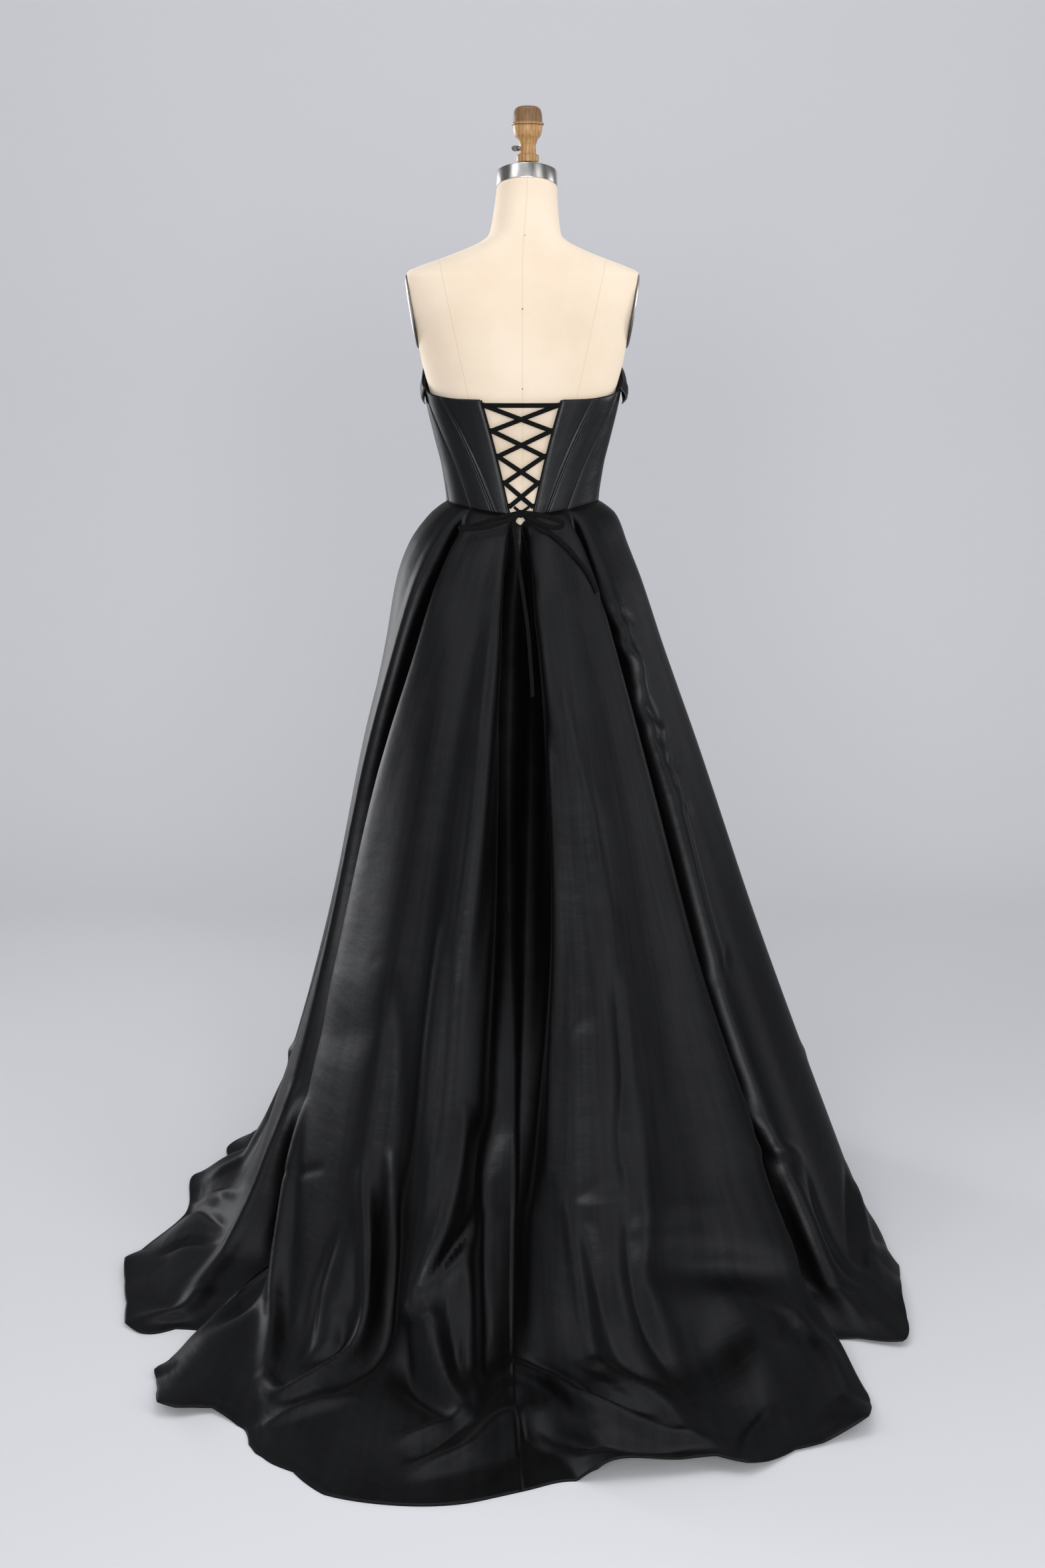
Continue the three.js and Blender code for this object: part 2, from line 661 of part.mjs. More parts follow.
function laceHalf(firstSide, standOff, withBar) {
  const turns = LOOP_HEIGHTS.map((_, row) => laceTurn(row % 2 ? -firstSide : firstSide, row));
  if (withBar) turns.unshift(laceTurn(-firstSide, 0));
  let lace;
  for (let k = 1; k < turns.length; k++) {
    const [from, to] = [turns[k - 1], turns[k]];
    const past = LACE.turn / (rad(1) * 110 * Math.abs(to.direction - from.direction));
    const route = [-past, 0.25, 0.5, 0.75, 1 + past].map((t) => {
      const direction = lerp(from.direction, to.direction, t);
      return bodicePoint(direction, 1, lerp(from.height, to.height, t), standOff);
    });
    const run = toSolid(ribbon(route, facingBack, 4));
    lace = lace ? lace.add(run) : run;
  }
  return toGeometry(lace);
}
addPiece("lace_over", laceHalf(1, LACE.over, true), LACE_SATIN);
addPiece("lace_under", laceHalf(-1, LACE.under, false), LACE_SATIN);

// The bow: a knot and two flattened loops, in front of the waist seam. Loop points by hand.
const KNOT = { x: 3, y: 113, z: 1109, wide: 9, deep: 5, tall: 7.5 };
const BOW_LEFT = [
  [3, 115, 1111],
  [25, 120, 1106],
  [55, 123, 1098],
  [82, 125, 1091],
  [95, 126.5, 1089],
  [97, 129, 1088],
  [84, 131, 1087],
  [55, 129, 1090],
  [25, 125, 1099],
  [3, 117, 1109],
];
const BOW_RIGHT = [
  [3, 115, 1109],
  [-14, 121, 1102],
  [-36, 127, 1092],
  [-52, 129, 1089],
  [-61, 131, 1092],
  [-62, 132, 1097],
  [-50, 130, 1102],
  [-32, 126, 1107],
  [-14, 122, 1110],
  [3, 117, 1111],
];
// The lace's two ends run from the lowest loops into the knot.
const BOW_ENDS = [
  [
    [13, 100.4, 1118],
    [8, 106, 1114.5],
    [3, 112, 1110],
  ],
  [
    [-10, 98.9, 1118],
    [-4, 104.5, 1114.5],
    [3, 112, 1110],
  ],
];
const vectors = (rows) => rows.map(([x, y, z]) => new THREE.Vector3(x, y, z));

function bowSolid() {
  const knot = new THREE.SphereGeometry(1, 12, 8);
  knot.scale(KNOT.wide, KNOT.deep, KNOT.tall).translate(KNOT.x, KNOT.y, KNOT.z);
  let solid = toSolid(knot);
  for (const route of [BOW_LEFT, BOW_RIGHT])
    solid = solid.add(toSolid(ribbon(vectors(route), facingBack, 18, LACE.width * 0.8)));
  for (const route of BOW_ENDS)
    solid = solid.add(toSolid(ribbon(vectors(route), facingBack, 3, LACE.width * 0.7)));
  return solid;
}
const bow = bowSolid();
addPiece("bow", toGeometry(bow), LACE_SATIN);

// Each free end of the lace hangs from the knot and lies on the skirt: points by hand.
const TAIL_CENTRE = [
  [2, 113, 1107],
  [1.5, 114.5, 1098],
  [0, 118, 1088],
  [-2, 130, 1072],
  [-4, 148, 1052],
  [-6, 166, 1030],
  [-8, 185, 1006],
  [-10, 203, 980],
  [-11, 222, 953],
  [-12, 238.5, 925],
  [-13, 254, 898],
  [-14, 269, 872],
  [-15, 282, 850],
];
const TAIL_RIGHT = [
  [-1, 114, 1107],
  [-9, 117, 1099],
  [-24, 120.5, 1092],
  [-37, 124.5, 1086],
  [-50, 130, 1076],
  [-62, 135, 1067],
  [-74, 140.5, 1056],
  [-85, 148, 1043],
  [-95, 155.5, 1031],
  [-103, 163.5, 1018],
  [-110, 170.5, 1005],
  [-114, 176, 995],
];
const TAIL_STEPS = 16;
const facingOut = (point) => new THREE.Vector3(point.x * 0.5, 150, 60);
for (const [word, route] of [
  ["centre", TAIL_CENTRE],
  ["right", TAIL_RIGHT],
]) {
  const tail = toSolid(ribbon(vectors(route), facingOut, TAIL_STEPS));
  addPiece("lace_tail_" + word, toGeometry(tail.subtract(bow)), LACE_SATIN);
}

// Dressmaker's form
// Each row is a level section of the linen-covered torso, from under the hips to the neck.
const TORSO = [
  { height: 880, side: 138, back: 100, front: 96, tilt: 0, shift: 0, lean: 0 },
  { height: 892, side: 149, back: 108, front: 104, tilt: 0, shift: 0, lean: 0 },
  { height: 930, side: 156, back: 114, front: 107, tilt: 0, shift: 0, lean: 0 },
  { height: 980, side: 151, back: 112, front: 103, tilt: 0, shift: 0, lean: 0 },
  { height: 1030, side: 136, back: 103, front: 97, tilt: 0, shift: 0, lean: 0 },
  { height: 1075, side: 117, back: 93, front: 92, tilt: 0, shift: 0, lean: 0 },
  { height: 1120, side: 117.7, back: 95.5, front: 95.2, tilt: 0, shift: 0, lean: 0 },
  { height: 1170, side: 118.5, back: 92, front: 99, tilt: 0, shift: 0, lean: 0 },
  { height: 1225, side: 131, back: 94.5, front: 112, tilt: 0, shift: 0, lean: 0 },
  { height: 1280, side: 143.5, back: 98, front: 124, tilt: 0, shift: 0, lean: 0 },
  { height: 1330, side: 157, back: 101, front: 121, tilt: 0, shift: 0, lean: 0 },
  { height: 1385, side: 172, back: 99, front: 106, tilt: 0, shift: 0, lean: 0 },
  { height: 1435, side: 188, back: 92, front: 88, tilt: 0, shift: 0, lean: 0 },
  { height: 1470, side: 190, back: 80, front: 70, tilt: 0, shift: 2, lean: 0 },
  { height: 1484, side: 163, back: 71, front: 59, tilt: 0, shift: 3, lean: 0 },
  { height: 1497, side: 127, back: 63, front: 53, tilt: 0, shift: 3, lean: -1 },
  { height: 1510, side: 93, back: 58, front: 53, tilt: 2, shift: 2, lean: -2 },
  { height: 1521, side: 69, back: 57, front: 55, tilt: 5, shift: 0, lean: -3 },
  { height: 1531, side: 57, back: 56, front: 55, tilt: 8, shift: -2, lean: -4 },
  { height: 1552, side: 52.5, back: 53, front: 52, tilt: 12, shift: -5, lean: -5 },
  { height: 1580, side: 49, back: 49, front: 49, tilt: 15, shift: -8, lean: -6 },
  { height: 1604, side: 47, back: 47, front: 47, tilt: NECK_TILT, shift: -10, lean: -7 },
];
const TORSO_SIDES = 28;
const ARM_CUT = { x: 171, z: 1416, lean: 9 }; // the flat armhole, leaning in at its foot
const ARM_PLATE = { wide: 42, tall: 58, thick: 4 };

function torsoRing({ height, side, back, front, tilt, shift, lean }) {
  const ring = [];
  for (let i = 0; i < TORSO_SIDES; i++) {
    const angle = (2 * Math.PI * i) / TORSO_SIDES;
    const x = lean + side * Math.cos(angle);
    const y = shift + (Math.sin(angle) > 0 ? back : front) * Math.sin(angle);
    ring.push(new THREE.Vector3(x, y, height + (y - shift) * Math.tan(rad(tilt))));
  }
  return ring;
}

// Places a piece made round +Z at an armhole, with its own +Z pointing outwards.
function atArmhole(geometry, side, standOff) {
  return geometry
    .translate(0, 0, standOff)
    .rotateY(Math.PI / 2)
    .rotateY(rad(ARM_CUT.lean))
    .translate(ARM_CUT.x, 0, ARM_CUT.z)
    .rotateZ(side > 0 ? 0 : Math.PI);
}

let torso = toSolid(loftGeometry(TORSO.map(torsoRing)));
for (const side of [1, -1]) {
  const cutter = new THREE.BoxGeometry(400, 400, 100).translate(0, 0, 50);
  torso = torso.subtract(toSolid(atArmhole(cutter, side, 0)));
}
addPiece("form_torso", toGeometry(torso), LINEN);

for (const [word, side] of SIDES) {
  const { wide, tall, thick } = ARM_PLATE;
  const plate = turned([[0, 0], [0.94, 0], [1, 0.3], [1, 0.7], [0.94, 1], [0, 1]], 24);
  plate.scale(tall, wide, thick);
  addPiece("arm_plate_" + word, atArmhole(plate, side, SEAM_GAP), STEEL);
}

const NECK_TOP = { x: -7, y: -10, z: 1604 };
const NECK_CAP = { radius: 47.5, tall: 24, edge: 1.5 };
const neckFrame = (geometry) =>
  geometry.rotateX(rad(NECK_TILT)).translate(NECK_TOP.x, NECK_TOP.y, NECK_TOP.z);
const neckCap = turned(
  [
    [0, SEAM_GAP],
    [NECK_CAP.radius, SEAM_GAP],
    [NECK_CAP.radius, NECK_CAP.tall - NECK_CAP.edge],
    [NECK_CAP.radius - NECK_CAP.edge, NECK_CAP.tall],
    [0, NECK_CAP.tall],
  ],
  28,
);
addPiece("neck_cap", neckFrame(neckCap), STEEL);

// The rod's stub stands upright on the tilted cap and carries the wooden finial.
const ROD_RADIUS = 6;
const FINIAL_FOOT = 1643;
const rodAxisY = NECK_TOP.y - Math.sin(rad(NECK_TILT)) * NECK_CAP.tall;
const rodAxisX = NECK_TOP.x - 1;
const rodBar = new THREE.CylinderGeometry(ROD_RADIUS, ROD_RADIUS, 60, 16)
  .rotateX(Math.PI / 2)
  .translate(rodAxisX, rodAxisY, FINIAL_FOOT - SEAM_GAP - 30);
const belowCap = neckFrame(
  new THREE.BoxGeometry(200, 200, 100).translate(0, 0, NECK_CAP.tall + SEAM_GAP - 50),
);
addPiece("finial_rod", toGeometry(toSolid(rodBar).subtract(toSolid(belowCap))), IRON);

// The finial, turned from one block, as [radius, height above its foot].
const FINIAL_PROFILE = [
  [0, 0], [16, 0], [17.5, 2], [17.5, 9], [15.5, 11], [12.8, 12], [12.6, 30], [16, 34],
  [20.5, 40], [22.5, 48], [22.8, 53], [25.2, 55], [25.2, 58], [22.8, 60], [22.4, 68],
  [20.5, 77], [16, 82], [9, 84], [0, 84.5],
];
// The thumb screw clamps the finial on its rod. It turns about its own axis.
const SCREW = { turn: 20, height: 20, shaft: 2.45, bore: 2.55, inside: 6, collar: 4, clear: 5 };
const placeScrew = (geometry) =>
  geometry
    .rotateY(Math.PI / 2)
    .rotateZ(rad(SCREW.turn))
    .translate(rodAxisX, rodAxisY, FINIAL_FOOT + SCREW.height);
const finialNeck = 12.7;
const screwBore = new THREE.CylinderGeometry(SCREW.bore, SCREW.bore, 20, 16)
  .rotateX(Math.PI / 2)
  .translate(0, 0, finialNeck - SCREW.inside - SEAM_GAP + 10);
const finial = toSolid(turned(FINIAL_PROFILE, 20).translate(rodAxisX, rodAxisY, FINIAL_FOOT));
addPiece("finial", toGeometry(finial.subtract(toSolid(placeScrew(screwBore)))), WOOD);

const screwFoot = finialNeck - SCREW.inside;
const screwHead = finialNeck + SCREW.clear;
const screwStem = turned(
  [
    [0, screwFoot],
    [SCREW.shaft, screwFoot],
    [SCREW.shaft, finialNeck + 1],
    [SCREW.collar, finialNeck + 2],
    [SCREW.collar, screwHead],
    [0, screwHead],
  ],
  16,
);
const screwWing = new THREE.CylinderGeometry(6, 6, 2.4, 16)
  .scale(1, 1, 0.75)
  .rotateZ(Math.PI / 2)
  .rotateX(Math.PI / 2)
  .translate(0, 0, screwHead + 3);
const screw = toSolid(screwStem).add(toSolid(screwWing));
addPiece("thumb_screw", placeScrew(toGeometry(screw)), STEEL);

// Stand: a round iron base and a pole, hidden under the skirt.
const BASE_TOP = 62;
const BASE_PROFILE = [
  [0, 0], [185, 0], [185, 9], [172, 15], [70, 24], [30, 34], [24, 44], [22, BASE_TOP], [0, BASE_TOP],
];
const POLE_RADIUS = 14;
addPiece("stand_base", turned(BASE_PROFILE, 28), IRON);
const poleFoot = BASE_TOP + SEAM_GAP;
const poleTop = TORSO[0].height - SEAM_GAP;
const pole = new THREE.CylinderGeometry(POLE_RADIUS, POLE_RADIUS, poleTop - poleFoot, 20)
  .rotateX(Math.PI / 2)
  .translate(0, 0, (poleTop + poleFoot) / 2);
addPiece("stand_pole", pole, STEEL);

export default gown;
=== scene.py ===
"""A strapless black satin prom gown on a limbless dress form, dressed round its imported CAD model.

The camera stands behind the gown, as in the photograph. The tables are in millimetres, as a
dressmaker's are, and MM turns them into the scene's metres. The gown's front faces -Y, and the
wearer's left is +X.
"""

import bpy
import numpy as np
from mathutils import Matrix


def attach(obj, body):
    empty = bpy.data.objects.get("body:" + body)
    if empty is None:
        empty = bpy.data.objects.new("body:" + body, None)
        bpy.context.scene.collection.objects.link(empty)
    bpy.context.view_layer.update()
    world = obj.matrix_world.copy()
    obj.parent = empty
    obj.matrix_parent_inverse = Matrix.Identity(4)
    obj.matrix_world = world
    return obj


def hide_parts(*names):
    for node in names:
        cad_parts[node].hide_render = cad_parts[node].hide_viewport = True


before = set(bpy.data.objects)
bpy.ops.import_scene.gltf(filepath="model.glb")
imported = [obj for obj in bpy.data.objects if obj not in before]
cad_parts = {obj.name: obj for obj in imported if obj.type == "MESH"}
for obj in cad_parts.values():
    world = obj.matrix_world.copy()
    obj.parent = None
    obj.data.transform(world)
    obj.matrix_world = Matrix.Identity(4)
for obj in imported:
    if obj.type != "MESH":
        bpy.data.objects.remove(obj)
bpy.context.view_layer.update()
MM = 0.001

# The view. The photograph was taken from behind at about chest height, 3.5 m away, with a normal
# lens tilted down a little.
EYE = (0.0, 3.5, 1.4)
LENS_MM = 50.0
DOWNWARD_TILT = 11.986

view = bpy.data.cameras.new("view_from_behind")
view.lens = LENS_MM
camera = bpy.data.objects.new("view_from_behind", view)
camera.location = EYE
camera.rotation_euler = np.radians((90.0 - DOWNWARD_TILT, 0.0, 180.0))
bpy.context.scene.collection.objects.link(camera)
bpy.context.scene.camera = camera

# The skirt. Five cut panels of black duchess satin, set into the waist seam in deep box pleats.
# They fall in a bell to the floor and run out behind into a short train. Each pleat is a row of
# the fold table, a line that runs from the waist to the hem.
CLOTH = 2.0  # satin with its interlining
SEAM_GAP = 0.3  # between the skirt and the bodice
SEWN_GAP = 0.03  # between two panels of the skirt
WAIST_SIDE = 1120.0
WAIST_DIP_BACK = 15.0
WAIST_DIP_FRONT = 8.0
TOP_LEVEL = 1120.0
HEM_LEVEL = -200.0
FLOOR_ROUNDING = 44.0
HEM_PRESS = 1.2
SEAM_FADE = 130.0
PLACKET_DEPTH = 15.0
PLACKET_HALF_WIDTH = 11.0
PLACKET_X = 4.0
COLUMNS_A_DEGREE = 1.75
FEWEST_COLUMNS = 12

# Level, then the bell's centre behind the stand, depth, left and right half-widths. Levels under
# 0 lie on the floor.
BELL = np.array([
    (1120, 0, 96.5, 119.5, 121.5),
    (1098, 1, 116, 147, 148),
    (1055, 5, 146, 178, 166),
    (1000, 15, 178, 197, 188),
    (900, 30, 230, 215, 222),
    (740, 50, 302, 250, 280),
    (500, 85, 402, 296, 362),
    (340, 115, 472, 337, 420),
    (200, 145, 537, 382, 472),
    (90, 180, 595, 420, 512),
    (0, 222, 655, 468, 542),
    (-100, 285, 725, 530, 556),
    (-200, 335, 785, 568, 560),
], float)

# Fold lines in order round the skirt from the wearer's left: degrees anticlockwise from +X at the
# waist, hip, knee, low and hem stations, then how far the line stands out of the bell at the yoke,
# hip, knee, low and hem stations, then how far the hem lifts off the floor there.
DIRECTION_LEVELS = np.array((1120, 1000, 500, 120, -200), float)
OUT_LEVELS = np.array((1120, 1085, 1000, 500, 120, -200), float)
FOLDS = (
    ("left side", (-3, 0, -4, -8, -12), (0, 2, 0, 0, -22), 0),
    ("left crest", (19, 17, 9, 8, 10), (2, 4, 4, 8, 30), 8),
    ("left flap", (28, 26.5, 14, 18, 25), (2, 5, 5, 10, 28), 4),
    ("left panel edge", (37, 34.5, 18.5, 26, 31.5), (3, 7, 6, 0, 6), 0),
    ("left gap", (41.5, 38.5, 23, 33, 34.5), (-14, -44, -56, -56, -66), 0),
    ("left layer", (45, 41.5, 27, 37, 41), (-3, -12, -18, -14, 18), 0),
    ("tube left edge", (49, 45.5, 32, 42, 49.5), (1, 2, 4, 6, 44), 14),
    ("tube middle", (56, 54, 46, 53, 58), (0, 3, 4, 8, -14), 0),
    ("tube right edge", (63, 62, 60, 63, 65), (0, 1, 6, 10, 26), 0),
    ("left trough", (71, 70, 68, 69, 72), (0, 0, -10, -26, 32), 0),
    ("left roll", (79.5, 79.5, 75.5, 76, 79), (2, 6, 12, 14, 14), 0),
    ("centre fall", (84.5, 84, 82, 83, 84.5), (-10, -28, -30, -30, -10), 0),
    ("centre valley", (88.5, 88.5, 89, 88.5, 90), (-16, -50, -76, -58, -48), 0),
    ("centre seam edge", (93, 94, 94.2, 91.6, 94), (-2, -10, -46, -36, -70), 10),
    ("right crease", (101, 101, 100, 97, 98.5), (1, 2, 2, 4, -63), 58),
    ("right ridge", (110, 109, 107.5, 105, 106.5), (1, 4, 12, 8, -30), 30),
    ("right panel", (119, 119, 119, 118, 116), (0, 2, 0, -6, 22), 4),
    ("right panel edge", (127.5, 127.5, 129, 133.5, 130), (2, 6, 14, 16, 43), 10),
    ("right gap", (131.5, 131.5, 132, 137.5, 141), (-14, -46, -60, -62, -84), 0),
    ("right side roll", (135.2, 135, 135.3, 140.8, 147.5), (2, 6, 6, 4, 24), 8),
    ("right side panel", (152, 152, 152, 153, 158), (1, 2, -8, -8, 14), 20),
    ("right side", (170, 169, 169, 170, 171), (0, 2, 2, 4, 6), 0),
    ("right side dip", (187, 187, 187, 188, 189), (0, -4, -14, -20, -10), 0),
    ("right front roll", (212, 208, 206, 205, 205), (2, 6, 12, 14, 12), 6),
    ("right front gap", (216, 213, 212, 211, 211), (-14, -42, -54, -50, -30), 0),
    ("right front edge", (220, 218, 218, 217, 217), (2, 6, 14, 16, 12), 6),
    ("right front panel", (237, 236, 236, 236, 236), (0, 0, -10, -14, -8), 0),
    ("front ridge right", (256, 256, 255, 254, 254), (1, 3, 10, 16, 12), 5),
    ("front centre", (271, 271, 271, 271, 271), (0, -3, -10, -14, -6), 0),
    ("front ridge left", (286, 286, 287, 288, 288), (1, 3, 10, 16, 12), 5),
    ("left front panel", (305, 304, 304, 305, 305), (0, 0, -10, -12, -8), 0),
    ("left front edge", (323, 323, 322, 323, 323), (2, 6, 14, 14, 12), 6),
    ("left front gap", (327.5, 327.5, 328, 329, 329), (-14, -42, -54, -46, -30), 0),
    ("left front roll", (332, 332, 334, 335, 335), (2, 6, 12, 12, 10), 6),
)
SKIRT_PIECES = (
    ("skirt_side_left", "left front gap", "left gap"),
    ("skirt_back_left", "left gap", "centre valley"),
    ("skirt_back_right", "centre valley", "right gap"),
    ("skirt_side_right", "right gap", "right front gap"),
    ("skirt_front", "right front gap", "left front gap"),
)


def track(stations, values, at):
    """Smooth monotone curve through rows of values: each stretch eases from one row to the next,
    and its slope at a row is the harmonic mean of the chords' slopes on both sides."""
    order = np.argsort(stations)
    x = np.asarray(stations, float)[order]
    y = np.asarray(values, float)[order].reshape(len(x), -1)
    span = np.diff(x)[:, None]
    slope = np.diff(y, axis=0) / span
    before, after = slope[:-1], slope[1:]
    same_way = before * after > 0
    mean = np.where(same_way, 2 * before * after / np.where(same_way, before + after, 1), 0)
    tangent = np.concatenate([slope[:1], mean, slope[-1:]])
    k = np.clip(np.searchsorted(x, at, side="right") - 1, 0, len(x) - 2)
    t = np.clip((at - x[k]) / span[k, 0], 0, 1)[:, None]
    ease = t * t * (3 - 2 * t)
    bow = span[k] * t * (1 - t) * (tangent[k] * (1 - t) - tangent[k + 1] * t)
    return y[k] + (y[k + 1] - y[k]) * ease + bow


def egg_reach(angle, left, right, back, front):
    """Distance from the middle of an egg-shaped outline to its edge in a direction: an ellipse in
    each quarter, from four half-widths."""
    c, s = np.cos(angle), np.sin(angle)
    return 1 / np.hypot(c / np.where(c > 0, left, right), s / np.where(s > 0, back, front))


def seam_height(angle):
    """The waist seam's height: it dips by the square of the sine, more at the back."""
    s = np.sin(angle)
    return WAIST_SIDE - np.where(s > 0, WAIST_DIP_BACK, WAIST_DIP_FRONT) * s * s


def bent(level):
    """The level bent onto the floor along a hyperbola: (z + sqrt(z^2 + rounding^2)) / 2."""
    return (level + np.hypot(level, FLOOR_ROUNDING)) / 2


def rest_height(level):
    """Height above the floor of a level: a hyperbola that bends the fall onto the floor, less a
    share that brings it exactly to the waist at the top and to the floor at the hem."""
    above = level > 0
    spare = np.where(above, bent(TOP_LEVEL) - TOP_LEVEL, bent(HEM_LEVEL) * HEM_PRESS)
    share = np.clip(np.where(above, level / TOP_LEVEL, level / HEM_LEVEL), 0, 1)
    return np.maximum(0, bent(level) - spare * share)


def fold_lines(levels):
    """Each fold line's points on the skirt's inside face, [fold][level]: the bell's reach plus how
    far the fold stands out, turned to the fold's direction, at the height of the level."""
    angle = np.radians(track(DIRECTION_LEVELS, np.array([f[1] for f in FOLDS], float).T, levels)).T
    outs = np.array([(0, *f[2]) for f in FOLDS], float).T
    out = track(OUT_LEVELS, outs, levels).T
    centre, depth, left, right = track(BELL[:, 0], BELL[:, 1:], levels).T
    reach = egg_reach(angle, left, right, depth, depth) + out
    x = reach * np.cos(angle)
    y = centre + reach * np.sin(angle)
    fade = np.clip((levels - TOP_LEVEL) / SEAM_FADE + 1, 0, 1)
    notch = np.exp(-(((x - PLACKET_X) / PLACKET_HALF_WIDTH) ** 2)) * fade**2
    placket = np.where(y > 0, PLACKET_DEPTH * notch, 0)
    lift = np.clip((DIRECTION_LEVELS[3] - levels) / (DIRECTION_LEVELS[3] - HEM_LEVEL), 0, 1)
    rise = np.array([f[3] for f in FOLDS])[:, None] * lift * lift * (3 - 2 * lift)
    dip = (WAIST_SIDE - seam_height(np.arctan2(y, x))) * fade + placket
    return np.stack([x, y, rest_height(levels) - dip + rise], -1)


def root_length(p, q):
    """The square root of the distance between points."""
    return np.maximum(np.linalg.norm(q - p, axis=-1, keepdims=True), 1e-6) ** 0.5


def curve_between(a, b, c, d, t):
    """Centripetal Catmull-Rom curve from b to c: a cubic whose end slopes follow the chords, each
    weighed by the square root of its length."""
    d0, d1, d2 = root_length(a, b), root_length(b, c), root_length(c, d)
    m1 = ((b - a) / d0 - (c - a) / (d0 + d1) + (c - b) / d1) * d1
    m2 = ((c - b) / d1 - (d - b) / (d1 + d2) + (d - c) / d2) * d1
    return b + m1 * t + (3 * (c - b) - 2 * m1 - m2) * t**2 + (2 * (b - c) + m1 + m2) * t**3


def round_of_points(lines):
    """All the skirt's columns of points, and the column where each fold line lies: the fold lines
    and curves between them, with more columns where the folds are far apart."""
    knee = np.array([f[1][2] for f in FOLDS], float)
    gaps = (np.roll(knee, -1) - knee) % 360
    counts = np.maximum(FEWEST_COLUMNS, np.round(gaps * COLUMNS_A_DEGREE)).astype(int)
    columns = []
    for k, count in enumerate(counts):
        a, b, c, d = (lines[(k + step) % len(FOLDS)] for step in (-1, 0, 1, 2))
        t = (np.arange(count) / count)[:, None, None]
        columns.append(curve_between(a, b, c, d, t))
    points = np.concatenate(columns)
    points[..., 2] = np.maximum(points[..., 2], 0)
    return points, np.concatenate([[0], np.cumsum(counts)])


def outward(points):
    """Outward normals of a closed round of points, [around][down]: across its columns and rows."""
    across = np.roll(points, -1, axis=0) - np.roll(points, 1, axis=0)
    down = np.gradient(points, axis=1)
    normal = np.cross(down, across)
    return normal / np.maximum(np.linalg.norm(normal, axis=-1, keepdims=True), 1e-9)


def mesh_piece(name, points, faces, smooth, uv=None):
    """A mesh object from an array of points in millimetres, a list of faces and whether each face
    is smooth, with an optional place on the cloth for each point, in metres."""
    mesh = bpy.data.meshes.new(name)
    mesh.from_pydata((points * MM).tolist(), [], faces)
    if uv is not None:
        corners = np.zeros(len(mesh.loops), np.int32)
        mesh.loops.foreach_get("vertex_index", corners)
        mesh.uv_layers.new(name="cloth").data.foreach_set("uv", uv[corners].ravel())
    mesh.polygons.foreach_set("use_smooth", smooth)
    piece = bpy.data.objects.new(name, mesh)
    bpy.context.scene.collection.objects.link(piece)
    return piece


def finish_piece(piece, material, node=None, body="gown_on_form"):
    """Gives a piece its material and its body, and puts it in a CAD node's place."""
    piece.data.materials.append(material)
    if node:
        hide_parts(node)
    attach(piece, body)


def strip(a, b):
    """Quads between two rows of points."""
    return np.stack([a[:-1], a[1:], b[1:], b[:-1]], -1)


def wall_faces(across, down):
    """Faces of a closed wall between an outer grid of points and an inner one, [across][down]:
    both grids, the inner one turned round, and a strip along each of the four edges."""
    outer = np.arange(across * down).reshape(across, down)
    inner = outer + across * down
    outer_quads = [outer[:-1, :-1], outer[:-1, 1:], outer[1:, 1:], outer[1:, :-1]]
    inner_quads = [inner[:-1, :-1], inner[1:, :-1], inner[1:, 1:], inner[:-1, 1:]]
    return np.concatenate([
        np.stack(outer_quads, -1).reshape(-1, 4),
        np.stack(inner_quads, -1).reshape(-1, 4),
        strip(outer[:, 0], inner[:, 0]),
        strip(outer[::-1, -1], inner[::-1, -1]),
        strip(outer[0, ::-1], inner[0, ::-1]),
        strip(outer[-1], inner[-1]),
    ])


def steps(points, axis=0):
    """Distances from each point to the next one along an axis of its grid."""
    return np.linalg.norm(np.diff(points, axis=axis), axis=-1)


def cloth_wall(name, inner, outer):
    """One cut piece of cloth as a closed wall, with the distances along its two ways, from its
    first column and its top row, as its place on the cloth."""
    along = np.cumsum(np.pad(steps(outer, 0).mean(1), (1, 0)))
    fall = np.cumsum(np.pad(steps(outer, 1).mean(0), (1, 0)))
    uv = np.stack(np.meshgrid(along, fall, indexing="ij"), -1).reshape(-1, 2) * MM
    points = np.concatenate([outer.reshape(-1, 3), inner.reshape(-1, 3)])
    across, down = inner.shape[:2]
    faces = wall_faces(across, down)
    smooth = np.arange(len(faces)) < 2 * (across - 1) * (down - 1)
    return mesh_piece(name, points, faces.tolist(), smooth, np.concatenate([uv, uv]))


def declare_cut(face):
    """Works out the cross product of the diagonals of each quad in a grid of points; the result is not kept
    or used."""
    diagonals = np.cross(face[1:, 1:] - face[:-1, :-1], face[1:, :-1] - face[:-1, 1:])


